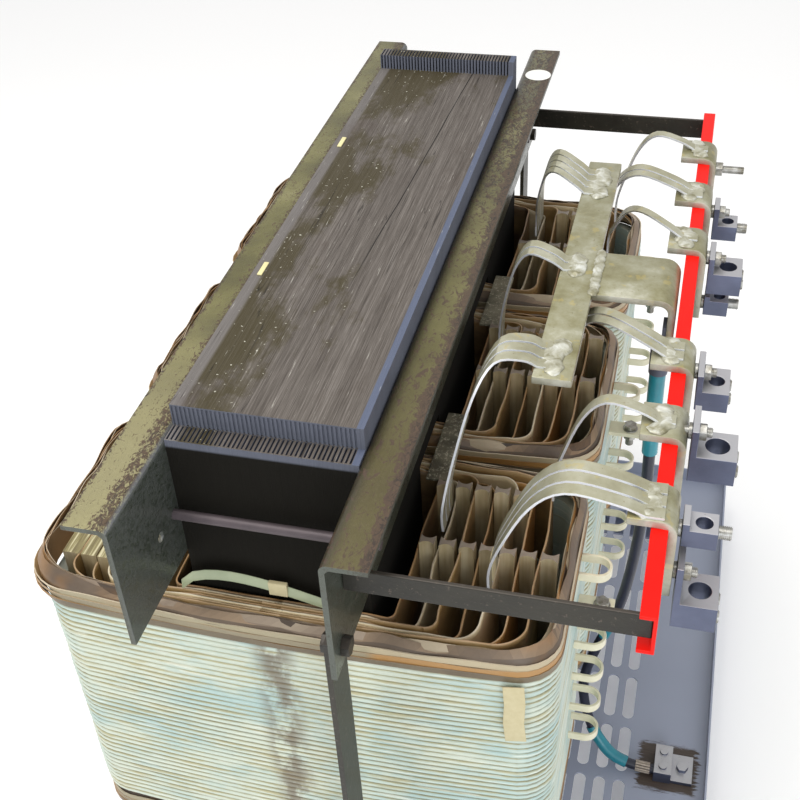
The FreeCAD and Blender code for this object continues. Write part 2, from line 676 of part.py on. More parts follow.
def ribbon(points, width, thick):
    """Flat strip through points in space; its width stays parallel to Y."""
    sections = []
    last = len(points) - 1
    for i, p in enumerate(points):
        a = points[max(0, i - 1)]
        b = points[min(last, i + 1)]
        dx = b[0] - a[0]
        dz = b[2] - a[2]
        size = math.hypot(dx, dz)
        nx = -dz / size * thick / 2
        nz = dx / size * thick / 2
        sections.append([V(p[0] + s * nx, p[1] + w * width / 2, p[2] + s * nz)
                         for s, w in ((1, -1), (1, 1), (-1, 1), (-1, -1))])
    faces = []
    for a, b in zip(sections, sections[1:]):
        for k in range(4):
            m = (k + 1) % 4
            faces.append(Part.Face(Part.makePolygon([a[k], a[m], b[m], a[k]])))
            faces.append(Part.Face(Part.makePolygon([a[k], b[m], b[k], a[k]])))
    for ring in (sections[0], sections[-1]):
        faces.append(Part.Face(Part.makePolygon(ring + [ring[0]])))
    solid = Part.makeSolid(Part.makeShell(faces))
    if solid.Volume < 0:
        solid.reverse()
    return solid


def smooth(points, steps):
    """Points along a Catmull-Rom curve through the given points."""
    out = []
    for i in range(len(points) - 1):
        p0 = points[max(0, i - 1)]
        p1 = points[i]
        p2 = points[i + 1]
        p3 = points[min(len(points) - 1, i + 2)]
        for s in range(steps):
            t = s / steps
            out.append(tuple(
                0.5 * (2 * b + (c - a) * t + (2 * a - 5 * b + 4 * c - d) * t ** 2
                       + (3 * b - a - 3 * c + d) * t ** 3)
                for a, b, c, d in zip(p0, p1, p2, p3)))
    out.append(points[-1])
    return out


BUS_TOP_Z = CORE_TOP - BUS_TOP
PAD_TOP_Z = RAIL_TOP_Z + TERM_PAD_WALL


def landing(target):
    kind, value = target
    if kind == "bus":
        x = CORE_X + BUS_X - BUS_WIDTH / 2 + LEAD_EDGE
        return x, value, BUS_TOP_Z
    return RAIL_IN - TERM_PAD_TAIL + LEAD_PAD_EDGE, PAD_STATIONS[value], PAD_TOP_Z


def lead_route(name, k, offset, target):
    """Up out of a layer, over a low crest and flat onto the landing."""
    x0 = layer_edges(k)[1] - LAYER_SHEET / 2
    y0 = CENTRE[name] + offset
    x1, y1, z1 = landing(target)
    z1 += LEAD_WALL / 2
    rise = z1 - COIL_TOP
    dx = x1 - x0
    dy = y1 - y0
    knots = [(x0, y0, COIL_TOP), (x0, y0, COIL_TOP + 0.2 * rise)]
    for u, v, w in LEAD_CLIMB:
        knots.append((x0 + u * dx, y0 + v * dy, COIL_TOP + w * rise))
    for u, v, w in LEAD_RUN:
        knots.append((x0 + u * dx, y0 + v * dy, z1 + w * LEAD_CREST))
    path = smooth(knots + [(x1, y1, z1)], 4)
    path.append((x1 + LEAD_LAP, y1, z1))
    return path


def leads(coil):
    strips = []
    for name, k, offset, target, count in LEADS:
        if name != coil:
            continue
        path = lead_route(name, k, offset, target)
        pitch = LEAD_WIDTH + LEAD_GAP
        for s in range(count):
            shift = (s - (count - 1) / 2) * pitch
            moved = [(x, y + shift, z) for x, y, z in path]
            strips.append(ribbon(moved, LEAD_WIDTH, LEAD_WALL))
    return Part.makeCompound(strips)


# ---- connectors ----------------------------------------------------------------
# pad, offset along Y, block's top below the yoke's top, block width, reach, height, tang up
LUGS = (
    (0, -6.0, 166.0, 48.0, 38.0, 34.0, 50.0),
    (0, 8.0, 84.0, 30.0, 28.0, 22.0, 8.0),
    (1, 0.0, 84.0, 46.0, 42.0, 34.0, 34.0),
    (2, 0.0, 92.0, 50.0, 30.0, 26.0, 22.0),
    (3, -4.0, 92.0, 46.0, 36.0, 30.0, 22.0),
    (3, -8.0, 136.0, 30.0, 24.0, 22.0, 6.0),
    (4, 0.0, 98.0, 34.0, 26.0, 22.0, 26.0),
)
LUG_X = RAIL_OUT + TERM_PAD_WALL + LUG_STANDOFF
LUG_BORE_SHARE = 0.31         # bore's radius over the block's reach
BOLTED_TANG = 20.0            # shortest tang that stands up enough to take its own bolt


def lug_centre(lug):
    """Y of a connector's middle and Z of its block's top."""
    pad, shift, drop = lug[:3]
    return PAD_STATIONS[pad] + shift, CORE_TOP - drop


def connector_lugs():
    """Mechanical connectors: a bolted tang with a bored block standing out from it."""
    out = []
    for lug in LUGS:
        width, reach, height, up = lug[3:]
        y, top = lug_centre(lug)
        tang = box(LUG_X, LUG_X + TANG_WALL, y - width / 2, y + width / 2, top - height, top + up)
        block = box(LUG_X, LUG_X + TANG_WALL + reach, y - width / 2, y + width / 2,
                    top - height, top)
        body = fuse([tang, block])
        cx = LUG_X + TANG_WALL + reach / 2
        body = body.cut(rod((cx, y, top - height - 1), (0, 0, 1), reach * LUG_BORE_SHARE, height + 2))
        out.append(body)
    return Part.makeCompound(out)


def screw_height(lug):
    """Middle of the tang where it takes a bolt, else middle of the block."""
    top = lug_centre(lug)[1]
    height, up = lug[5:]
    if up >= BOLTED_TANG:
        return top + up / 2
    return top - height / 2


def terminal_screws():
    """Washers between each pad and connector, and the stud and nut in front of a tang."""
    out = []
    x = RAIL_OUT + TERM_PAD_WALL
    for lug in LUGS:
        y = lug_centre(lug)[0]
        z = screw_height(lug)
        out.append(rod((x, y, z), (1, 0, 0), WASHER_RADIUS, LUG_STANDOFF))
        if lug[6] >= BOLTED_TANG:
            face = LUG_X + TANG_WALL
            nut = hexagon_x(face, y, z, SCREW_FLATS, SCREW_NUT)
            out.append(fuse([nut, rod((face, y, z), (1, 0, 0), SCREW_RADIUS, SCREW_TAIL)]))
    y = PAD_STATIONS[BARE_PAD]
    z = RAIL_TOP_Z - BARE_STUD_DROP
    stud = rod((x, y, z), (1, 0, 0), SCREW_RADIUS, BARE_STUD)
    out.append(fuse([hexagon_x(x, y, z, NUT_FLATS, BARE_NUT), stud]))
    return Part.makeCompound(out)


# ---- bonding cable ---------------------------------------------------------------
CRIMP_WALL = 5.0
CRIMP_HALF = 12.0             # half width of the crimped lug's tang
CRIMP_UP = 34.0               # tang above the folded plate's lower edge
CRIMP_DOWN = 6.0
CRIMP_BARREL = 38.0
FOLD_LOW_Z = BUS_TOP_Z - FOLD_DROP
LUG_TANG_X = FOLD_X - FOLD_WALL
CABLE_X = LUG_TANG_X - CRIMP_WALL
CABLE_Y = FOLD_Y - 30
CABLE_TOP_Z = FOLD_LOW_Z - 42
GROUND_BLOCK = 28.0
GROUND_DEPTH = 56.0
GROUND_HEIGHT = 24.0
GROUND_TONGUE = 34.0
GROUND_TONGUE_HALF = 26.0
GROUND_TONGUE_WALL = 7.0
GROUND_HEAD_RADIUS = 9.5
GROUND_HEAD = 7.0
GROUND_SCREW_RADIUS = 6.5
GROUND_SCREW_HEIGHT = 3.0
GROUND_SCREW_OFFSET = 14.0    # each way from the block's middle
GROUND_BORE_Z = PAN_FLOOR + GROUND_HEIGHT / 2
GROUND_BORE_Y = GROUND_Y - GROUND_SCREW_OFFSET


def cable_lug():
    """Crimped lug bolted to the folded plate, its barrel pointing down."""
    tang = box(LUG_TANG_X - CRIMP_WALL, LUG_TANG_X, CABLE_Y - CRIMP_HALF, CABLE_Y + CRIMP_HALF,
               FOLD_LOW_Z - CRIMP_DOWN, FOLD_LOW_Z + CRIMP_UP)
    barrel = rod((CABLE_X, CABLE_Y, CABLE_TOP_Z), (0, 0, 1), BARREL_RADIUS, CRIMP_BARREL)
    return fuse([tang, barrel])


def ground_lug():
    """Two-screw connector block with a bolted tongue, flat on the pan floor."""
    x0 = GROUND_X - GROUND_BLOCK
    block = box(x0, GROUND_X, GROUND_Y - GROUND_DEPTH / 2, GROUND_Y + GROUND_DEPTH / 2,
                PAN_FLOOR, PAN_FLOOR + GROUND_HEIGHT)
    tongue = box(GROUND_X, GROUND_X + GROUND_TONGUE,
                 GROUND_Y - GROUND_TONGUE_HALF, GROUND_Y + GROUND_TONGUE_HALF,
                 PAN_FLOOR, PAN_FLOOR + GROUND_TONGUE_WALL)
    ring = []
    for k in range(6):
        a = math.radians(60 * k)
        ring.append((GROUND_X + GROUND_TONGUE / 2 + GROUND_HEAD_RADIUS * math.cos(a),
                     GROUND_Y + GROUND_HEAD_RADIUS * math.sin(a),
                     PAN_FLOOR + GROUND_TONGUE_WALL))
    heads = [prism(ring, (0, 0, GROUND_HEAD))]
    for way in (-1, 1):
        heads.append(rod((x0 + GROUND_BLOCK / 2, GROUND_Y + way * GROUND_SCREW_OFFSET,
                          PAN_FLOOR + GROUND_HEIGHT),
                         (0, 0, 1), GROUND_SCREW_RADIUS, GROUND_SCREW_HEIGHT))
    return fuse([block, tongue] + heads)


CABLE_POINTS = (
    (CABLE_X, CABLE_Y, CABLE_TOP_Z),
    (CABLE_X, CABLE_Y, CABLE_TOP_Z - 98),
    (CABLE_X + 2, CABLE_Y - 4, CABLE_TOP_Z - 226),
    (CABLE_X - 5, CABLE_Y - 2, CABLE_TOP_Z - 346),
    (CABLE_X - 19, CABLE_Y + 2, CABLE_TOP_Z - 456),
    (CABLE_X - 50, CABLE_Y + 10, CABLE_TOP_Z - 563),
    (CABLE_X - 67, CABLE_Y + 14, CABLE_TOP_Z - 648),
    (CABLE_X - 58, CABLE_Y + 4, CABLE_TOP_Z - 704),
    (CABLE_X - 38, CABLE_Y - 14, CABLE_TOP_Z - 748),
    (GROUND_X - GROUND_BLOCK - 57, GROUND_BORE_Y, GROUND_BORE_Z),
    (GROUND_X - GROUND_BLOCK, GROUND_BORE_Y, GROUND_BORE_Z),
)


def tangent_path(points):
    """Straight runs joined by arcs tangent to both, as large as the runs allow."""
    pts = [V(*p) for p in points]
    edges = []
    start = pts[0]
    radii = []
    for i in range(1, len(pts) - 1):
        a = pts[i] - pts[i - 1]
        b = pts[i + 1] - pts[i]
        turn = a.getAngle(b)
        reach = 0.45 * min(a.Length, b.Length)
        radii.append(round(reach / math.tan(turn / 2), 1))
        ua = V(a)
        ua.normalize()
        ub = V(b)
        ub.normalize()
        t0 = pts[i] - ua * reach
        t1 = pts[i] + ub * reach
        side = ub - ua
        side.normalize()
        radius = reach / math.tan(turn / 2)
        middle = pts[i] + side * (radius / math.cos(turn / 2) - radius)
        edges.append(Part.LineSegment(start, t0).toShape())
        edges.append(Part.Arc(t0, middle, t1).toShape())
        start = t1
    edges.append(Part.LineSegment(start, pts[-1]).toShape())
    return Part.Wire(edges), radii


def bonding_cable():
    wire, radii = tangent_path(CABLE_POINTS)
    first = wire.Edges[0]
    axis = first.tangentAt(first.FirstParameter)
    ring = Part.Wire([Part.Circle(V(*CABLE_POINTS[0]), axis, CABLE_RADIUS).toShape()])
    tube = wire.makePipeShell([ring], True, False)
    section = math.pi * CABLE_RADIUS ** 2
    print("cable length %.1f mm, radii %s, volume / (section * length) %.4f"
          % (wire.Length, radii, tube.Volume / (section * wire.Length)))
    return tube


NODES = [
    ("base_pan", base_pan()),
    ("base_rails", base_rails()),
    ("support_feet", support_feet()),
    ("isolation_pads", isolation_pads()),
    ("bottom_yoke", yoke(WINDOW_BASE, YOKE_BASE, LAP_RISE_LOW)),
    ("top_yoke", yoke(WINDOW_TOP, CORE_TOP, LAP_RISE)),
    ("top_clamp_left", clamp(-1, CLAMP_FACE_HIGH, 1)),
    ("top_clamp_right", clamp(1, CLAMP_FACE_HIGH, 1)),
    ("bottom_clamp_left", clamp(-1, CLAMP_FACE_LOW, -1)),
    ("bottom_clamp_right", clamp(1, CLAMP_FACE_LOW, -1)),
    ("top_tie_rods", tie_rods(ROD_Z_HIGH)),
    ("bottom_tie_rods", tie_rods(ROD_Z_LOW)),
    ("tie_straps", tie_straps()),
    ("terminal_rail", terminal_rail()),
    ("rail_arms", rail_arms()),
    ("terminal_pads", terminal_pads()),
    ("neutral_bus", neutral_bus()),
    ("coil_supports", coil_supports()),
    ("insulation_plates", insulation_plates()),
    ("connector_lugs", connector_lugs()),
    ("terminal_screws", terminal_screws()),
    ("cable_lug", cable_lug()),
    ("ground_lug", ground_lug()),
    ("bonding_cable", bonding_cable()),
]
for coil, centre in COILS:
    NODES.append(("limb_" + coil, limb(centre)))
    NODES.append(("winding_" + coil, coil_winding(coil, centre)))
    NODES.append(("collars_" + coil, coil_collars(coil, centre)))
    NODES.append(("layers_" + coil, coil_layers(coil, centre)))
    NODES.append(("spacers_" + coil, coil_spacers(coil, centre)))
    NODES.append(("taps_" + coil, coil_taps(centre)))
    NODES.append(("leads_" + coil, leads(coil)))

for node, solid in NODES:
    save(solid, node)
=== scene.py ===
# %% [markdown]
# # A dry-type power transformer, core and coils on a base pan
# The construction comes from CAD: every core block, clamp, coil and terminal is already at its
# real size and place. This lesson gives each of them its surface. Pieces whose CAD shape is
# right only get a finish; papers, turns, bent bars, solder and screws are modelled again on the
# boxes and outlines that the frame gives.

# %% Load the frame
import math
import random

import bpy
from mathutils import Matrix, Vector, noise


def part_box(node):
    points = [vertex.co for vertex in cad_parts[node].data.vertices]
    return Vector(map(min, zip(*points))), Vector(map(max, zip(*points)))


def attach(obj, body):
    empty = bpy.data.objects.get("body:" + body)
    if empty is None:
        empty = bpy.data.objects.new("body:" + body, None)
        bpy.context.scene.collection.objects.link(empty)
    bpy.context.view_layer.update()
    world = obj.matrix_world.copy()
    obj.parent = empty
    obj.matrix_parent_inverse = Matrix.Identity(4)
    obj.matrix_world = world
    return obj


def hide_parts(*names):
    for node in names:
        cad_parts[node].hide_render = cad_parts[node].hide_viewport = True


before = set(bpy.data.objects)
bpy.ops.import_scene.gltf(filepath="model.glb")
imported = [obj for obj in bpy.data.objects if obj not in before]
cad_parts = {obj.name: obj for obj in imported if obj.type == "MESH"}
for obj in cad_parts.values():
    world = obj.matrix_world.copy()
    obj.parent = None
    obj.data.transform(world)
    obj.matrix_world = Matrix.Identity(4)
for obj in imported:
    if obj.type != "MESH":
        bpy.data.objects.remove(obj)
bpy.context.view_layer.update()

# %% [markdown]
# ## Camera
# The view is from above one end of the core, with the terminal side on the right. A camera is
# placed by three directions at right angles, so its matrix is built from right, up and back.

# %% Camera
CAMERA_PLACE = Vector((0.301, -1.304, 1.809))
CAMERA_RIGHT = Vector((0.9683, 0.2453, -0.0461)).normalized()
CAMERA_FORWARD = Vector((-0.2198, 0.7507, -0.6230)).normalized()
CAMERA_LENS = 54.3       # millimetres, as the sensor's width is
CAMERA_SENSOR = 36.0


def add_camera():
    """The scene's camera, turned by its own three directions."""
    data = bpy.data.cameras.new("camera")
    data.lens = CAMERA_LENS
    data.sensor_width = CAMERA_SENSOR
    data.clip_end = 60.0
    camera = bpy.data.objects.new("camera", data)
    bpy.context.scene.collection.objects.link(camera)
    up = CAMERA_RIGHT.cross(CAMERA_FORWARD)
    turn = Matrix((CAMERA_RIGHT, up, -CAMERA_FORWARD)).transposed()
    camera.matrix_world = Matrix.Translation(CAMERA_PLACE) @ turn.to_4x4()
    bpy.context.scene.camera = camera


add_camera()
print("camera at", tuple(CAMERA_PLACE), "lens", CAMERA_LENS)

# %% [markdown]
# ## The bonding cable
# A stranded copper cable in black rubber hangs from the neutral's lug, swings in towards the
# coils and curls into the ground connector on the pan. A cord is one smooth line: its route's
# points are the control points of a NURBS spline, which rounds them as a hanging cable does.

# %% Route of the cable
CABLE_RADIUS = 0.008
CABLE_ROUTE = (
    (0.277, -0.052, 0.868),
    (0.277, -0.052, 0.770),
    (0.279, -0.056, 0.642),
    (0.272, -0.054, 0.522),
    (0.258, -0.050, 0.412),
    (0.227, -0.042, 0.305),
    (0.210, -0.038, 0.220),
    (0.219, -0.048, 0.164),
    (0.239, -0.066, 0.120),
    (0.283, -0.092, 0.090),
    (0.340, -0.092, 0.090),
)
print("route of", len(CABLE_ROUTE), "points, top", CABLE_ROUTE[0], "end", CABLE_ROUTE[-1])


# %% The cable's curve and its smooth line
def spline_curve(name, points, radius):
    """A smooth round curve along control points."""
    data = bpy.data.curves.new(name, "CURVE")
    data.dimensions = "3D"
    data.resolution_u = 16
    data.bevel_depth = radius
    data.bevel_resolution = 5
    data.use_fill_caps = True
    spline = data.splines.new("NURBS")
    spline.points.add(len(points) - 1)
    for point, place in zip(spline.points, points):
        point.co = (*place, 1.0)
    spline.order_u = 3
    spline.use_endpoint_u = True
    curve = bpy.data.objects.new(name, data)
    bpy.context.scene.collection.objects.link(curve)
    return curve


def points_along(points):
    """Points on the smooth line of a route, in order."""
    bare = spline_curve("bare_route", points, 0.0)
    mesh = bpy.data.meshes.new_from_object(bare)
    line = [vertex.co.copy() for vertex in mesh.vertices]
    bpy.data.meshes.remove(mesh)
    bpy.data.objects.remove(bare)
    return line


cable = spline_curve("bonding_cable_skin", CABLE_ROUTE, CABLE_RADIUS)
cable_line = points_along(CABLE_ROUTE)
print("cable line of", len(cable_line), "points")

# %% [markdown]
# ## Finishes
# Every surface here is a mix: varnish over rust, paint over steel, tape soaked in resin. A
# shader is easier to read as arithmetic, so one small class lets node sockets be added and
# multiplied as numbers are, and one method adds every other kind of node.

# %% Sockets as numbers
def linear(red, green, blue):
    """A colour given in screen values from 0 to 255, as the linear light that shaders use."""
    return tuple(((c / 255 + 0.055) / 1.055) ** 2.4 if c > 10 else c / 255 / 12.92
                 for c in (red, green, blue))


class Wire:
    """A node's output, with arithmetic that adds Math nodes."""

    def __init__(self, tree, socket):
        self.tree = tree
        self.socket = socket

    def maths(self, operation, first, second):
        node = self.tree.nodes.new("ShaderNodeMath")
        node.operation = operation
        for slot, value in zip(node.inputs, (first, second)):
            if isinstance(value, Wire):
                self.tree.links.new(value.socket, slot)
            else:
                slot.default_value = value
        return Wire(self.tree, node.outputs[0])

    def __add__(self, other):
        return self.maths("ADD", self, other)

    def __radd__(self, other):
        return self.maths("ADD", other, self)

    def __sub__(self, other):
        return self.maths("SUBTRACT", self, other)

    def __rsub__(self, other):
        return self.maths("SUBTRACT", other, self)

    def __mul__(self, other):
        return self.maths("MULTIPLY", self, other)

    def __rmul__(self, other):
        return self.maths("MULTIPLY", other, self)

    def __abs__(self):
        return self.maths("ABSOLUTE", self, 0.0)


print("a wire can be added, subtracted, multiplied and made positive")

# %% A finish and the nodes it is made of
class Finish:
    """A material in the making."""

    def __init__(self, name, metallic=0.0, coat=0.0, coat_roughness=0.2):
        self.material = bpy.data.materials.new(name)
        self.material.use_nodes = True
        self.tree = self.material.node_tree
        self.shader = self.tree.nodes["Principled BSDF"]
        self.shader.inputs["Metallic"].default_value = metallic
        self.shader.inputs["Coat Weight"].default_value = coat
        self.shader.inputs["Coat Roughness"].default_value = coat_roughness
        self.place = self.node("TexCoord", output="Object")
        self.x, self.y, self.z = self.split(self.place)

    def feed(self, socket, value):
        if isinstance(value, Wire):
            self.tree.links.new(value.socket, socket)
        elif isinstance(value, tuple) and len(value) == 3 and len(socket.default_value) == 4:
            socket.default_value = (*value, 1.0)
        else:
            socket.default_value = value

    def node(self, kind, settings=None, sockets=None, output=0):
        """Any node: its settings first, then its sockets' values or links."""
        node = self.tree.nodes.new("ShaderNode" + kind)
        for key, value in (settings or {}).items():
            if key == "stops":
                self.set_stops(node.color_ramp, value)
            else:
                setattr(node, key, value)
        for key, value in (sockets or {}).items():
            self.feed(node.inputs[key], value)
        return Wire(self.tree, node.outputs[output])

    def split(self, vector):
        """The three parts of a vector, each as a wire."""
        first = self.node("SeparateXYZ", sockets={"Vector": vector})
        return [Wire(self.tree, part) for part in first.socket.node.outputs]

    def set_stops(self, ramp, stops):
        while len(ramp.elements) < len(stops):
            ramp.elements.new(0.5)
        for element, (place, colour) in zip(ramp.elements, stops):
            element.position = place
            element.color = (*colour, 1.0)

    def stretched(self, stretch):
        return self.node("Mapping", sockets={"Vector": self.place, "Scale": stretch})

    def noise(self, scale, stretch=(1, 1, 1), detail=4.0, rough=0.6, distortion=0.0):
        """Noise of about so many patches a metre, denser along the stretched axes."""
        return self.node("TexNoise", sockets={
            "Vector": self.stretched(stretch), "Scale": scale, "Detail": detail,
            "Roughness": rough, "Distortion": distortion})

    def between(self, value, low, high):
        """0 below low, 1 above high, smooth between."""
        return self.node("MapRange", {"interpolation_type": "SMOOTHSTEP"}, {
            "Value": value, "From Min": low, "From Max": high})

    def inside(self, value, low, high, soft):
        """1 from low to high, fading to 0 outside over soft."""
        return (self.between(value, low - soft, low + soft)
                * (1.0 - self.between(value, high - soft, high + soft)))

    def mix(self, first, second, share):
        """Two colours mixed; the Mix node keeps its colours in sockets 6 and 7 and its result in 2."""
        node = self.tree.nodes.new("ShaderNodeMix")
        node.data_type = "RGBA"
        self.feed(node.inputs[0], share)
        self.feed(node.inputs[6], first)
        self.feed(node.inputs[7], second)
        return Wire(self.tree, node.outputs[2])

    def ramp(self, value, *stops):
        return self.node("ValToRGB", {"stops": stops}, {"Fac": value})

    def facing(self, axis):
        """How far the true surface faces along an axis: 1 along it, -1 against it."""
        return self.split(self.node("NewGeometry", output="True Normal"))["XYZ".index(axis)]

    def done(self, colour, roughness, height=None, depth=0.001, metallic=None):
        """Feeds the shader; height is a relief that is depth metres deep."""
        self.feed(self.shader.inputs["Base Color"], colour)
        self.feed(self.shader.inputs["Roughness"], roughness)
        if metallic is not None:
            self.feed(self.shader.inputs["Metallic"], metallic)
        if height is not None:
            bump = self.node("Bump", sockets={"Height": height, "Strength": 1.0,
                                              "Distance": depth})
            self.feed(self.shader.inputs["Normal"], bump)
        print(self.material.name, "made of", len(self.tree.nodes), "nodes")
        return self.material


print("finish class ready")

# %% [markdown]
# ### Core steel
# The yoke's top is thousands of sheet edges, so the grain is noise stretched along the core.
# Varnish stains it brown and olive in patches, with a few long black gaps between packets.

# %% Core steel
CORE_FACE_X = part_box("limb_middle")[1].x
CORE_MIDDLE_X = sum(corner.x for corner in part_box("limb_middle")) / 2
CORE_TOP_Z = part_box("top_yoke")[1].z
LAP_HEIGHT = 0.060       # how far the yoke's comb-like laps reach down from its top


def core_steel():
    f = Finish("core_steel")
    f.shader.inputs["Specular IOR Level"].default_value = 0.25
    sheets = f.noise(260.0, (4.0, 0.05, 0.05), detail=3.0, rough=0.75)
    packets = f.noise(40.0, (3.0, 0.03, 0.03), detail=2.0)
    stain = f.noise(5.0, (1.6, 0.7, 1.0), detail=6.0, rough=0.65)
    specks = f.noise(300.0, (1.4, 0.10, 1.0), detail=2.0)
    crack = f.noise(20.0, (2.6, 0.045, 0.05), detail=2.0, distortion=0.15)
    grain = sheets * 0.78 + packets * 0.22
    base = f.ramp(grain, (0.30, linear(58, 53, 49)), (0.44, linear(86, 80, 75)),
                  (0.56, linear(106, 100, 95)), (0.70, linear(134, 128, 123)))
    left = f.between(f.x * -1.0, 0.06, 0.20)
    far = f.between(f.y, 0.0, 0.30)
    blotch = f.noise(16.0, (1.3, 0.6, 1.0), detail=6.0, rough=0.7, distortion=0.4)
    olive = f.between(stain * 0.6 + blotch * 0.4 + left * 0.15 + far * left * 0.05, 0.54, 0.64)
    base = f.mix(base, linear(62, 55, 26), olive * 0.75)
    dots = f.between(f.noise(210.0, detail=1.0), 0.70, 0.74) * olive
    base = f.mix(base, linear(196, 194, 180), dots * 0.8)
    # The outermost packet beside the left clamp is bare grey steel.
    rim = f.between(CORE_MIDDLE_X - f.x, 0.088, 0.094)
    base = f.mix(base, f.mix(linear(96, 92, 90), linear(136, 132, 132), sheets), rim * 0.8)
    brown = f.between(1.0 - stain, 0.58, 0.70)
    base = f.mix(base, linear(74, 64, 57), brown * 0.5)
    black = f.between(abs(crack - 0.5), 0.0, 0.004)
    base = f.mix(linear(24, 21, 19), base, 0.35 + black * 0.65)
    # One packet has opened: a thin crack runs along it and closes towards the near end.
    drift = (f.noise(2.6, (0.0, 1.0, 0.0), detail=2.0) - 0.5) * 0.008
    crack_line = abs(f.x - CORE_MIDDLE_X - 0.026 - f.y * 0.035 + drift)
    opened = (1.0 - f.between(crack_line, 0.0003, 0.0013)) * f.between(f.y, -0.22, -0.08)
    base = f.mix(base, linear(16, 14, 12), opened * 0.9)
    # The outermost packet on the terminal side shows bare blue steel.
    packet = f.between(f.x, CORE_FACE_X - 0.0085, CORE_FACE_X - 0.0070)
    base = f.mix(base, linear(92, 102, 126), packet * 0.85)
    # Painted highlight: pale glints streak along the sheet edges.
    glint = f.between(specks * 0.6 + sheets * 0.4 + left * 0.01, 0.63, 0.70)
    base = f.mix(base, linear(208, 206, 196), glint * 0.55)
    side = f.between(abs(f.facing("Z")), 0.3, 0.7)
    # Cut ends of the laps stay bluish; below the laps, faces that do not look up are near black, the
    # limbs' faces between the coils among them.
    lap = f.between(f.z, CORE_TOP_Z - LAP_HEIGHT, CORE_TOP_Z - LAP_HEIGHT + 0.004)
    dark = f.mix(f.mix(linear(7, 5, 2), linear(20, 17, 8), grain),
                 f.mix(linear(72, 75, 84), linear(118, 122, 136), grain), lap)
    return f.done(f.mix(dark, base, side), 0.90 - side * (0.40 - stain * 0.25), grain, 0.0008,
                  metallic=side * 0.2)


CORE_STEEL = core_steel()

# %% [markdown]
# ### Varnished clamps
# The angle irons were dipped with the coils, so amber varnish lies over dark steel and rust
# eats through it in worm-like specks, thickest beside the bends and on the terminal side.

# %% Clamp varnish
def clamp_varnish():
    f = Finish("clamp_varnish", metallic=0.25, coat=0.35, coat_roughness=0.18)
    cloud = f.noise(9.0, detail=5.0)
    specks = f.noise(190.0, (1.3, 0.7, 1.0), detail=5.0, rough=0.72, distortion=1.2)
    coarse = f.noise(90.0, (1.3, 0.7, 1.0), detail=5.0, rough=0.75, distortion=1.4)
    worms = f.noise(58.0, (1.4, 0.8, 1.0), detail=3.0, distortion=1.8)
    base = f.ramp(cloud, (0.30, linear(74, 69, 34)), (0.47, linear(98, 94, 48)),
                  (0.60, linear(116, 112, 64)), (0.74, linear(142, 137, 94)))
    # Distances out are from the bend, which lies on the core's face.
    right = f.between(f.x, CORE_FACE_X - 0.025, CORE_FACE_X - 0.005)
    out = abs(f.x - CORE_MIDDLE_X) - (CORE_FACE_X - CORE_MIDDLE_X)
    inner = 1.0 - f.between(out, 0.013, 0.027)
    outer = f.between(out, 0.031, 0.047)
    near = f.between(f.y * -1.0, 0.15, 0.50)
    base = f.mix(base, linear(78, 69, 36), right * (0.25 + near * 0.55))
    # Painted shade: the right clamp darkens next to the core, beside its bend.
    painted_shade = (1.0 - f.between(out, 0.003, 0.019)) * right
    base = f.mix(base, linear(40, 36, 24), painted_shade * 0.75)
    distant = f.between(f.y, -0.10, 0.25) * right
    edge = f.between(out, 0.041, 0.047) * (1.0 - right)
    amount = inner * 0.15 * (1.0 - right) + outer * 0.20 * right + cloud * 0.05 + right * 0.04
    amount = amount + edge * 0.12 + distant * (1.0 - painted_shade) * 0.06
    fine_rust = f.between(specks + amount, 0.60, 0.67) * (1.0 - right)
    rust = fine_rust + f.between(coarse + amount, 0.61, 0.65) * right
    base = f.mix(base, f.mix(linear(34, 25, 20), linear(98, 74, 58), specks), rust * 0.90)
    zone = distant * 0.9 + outer * right * 0.7 + inner * (1.0 - right) * 0.6 + edge * 0.8
    lines = (1.0 - f.between(abs(worms - 0.5), 0.012, 0.038)) * f.between(zone, 0.1, 0.8)
    base = f.mix(base, linear(30, 23, 18), lines * 0.85)
    leg_face = 1.0 - f.between(abs(f.facing("Z")), 0.25, 0.6)
    near_left = (1.0 - right) * near
    base = f.mix(base, linear(160, 153, 116), near_left * (1.0 - rust) * 0.6)
    # Painted highlight: a pale bluish line runs along the left clamp's bend.
    bend_line = 1.0 - f.between(out, 0.0015, 0.0055)
    base = f.mix(base, linear(126, 132, 138), bend_line * (1.0 - right) * 0.6)
    leg = f.mix(linear(48, 54, 45), linear(80, 86, 76), cloud)
    colour = f.mix(base, leg, leg_face * (1.0 - 0.25 * rust))
    return f.done(colour, 0.34 + rust * 0.3, specks * 0.6 + cloud * 0.4, 0.0010)


CLAMP_VARNISH = clamp_varnish()

# %% [markdown]
# ### Dark steel
# Rods, straps and the rail's arms are mill steel, nearly black under a thin coat of varnish.
# Where the normal points up, the finish mixes in a paler brown.

# %% Dark steel of rods, straps and arms
def dark_steel():
    f = Finish("dark_steel", metallic=0.4, coat=0.2)
    cloud = f.noise(14.0, detail=5.0)
    specks = f.noise(160.0, detail=4.0, rough=0.7)
    base = f.ramp(cloud, (0.35, linear(28, 26, 19)), (0.60, linear(46, 43, 34)))
    worn = f.between(specks, 0.60, 0.68)
    top = f.between(f.facing("Z"), 0.5, 0.9)
    base = f.mix(base, linear(96, 84, 74), worn * 0.6)
    return f.done(f.mix(base, linear(84, 75, 68), top * 0.40), 0.42 + cloud * 0.2, specks, 0.0005)


DARK_STEEL = dark_steel()

# %% [markdown]
# ### Red paint
# The rail that carries the terminals is painted a bright, even red. A little noise between two
# near reds keeps it from looking like plastic, and a few scuffs show pale.

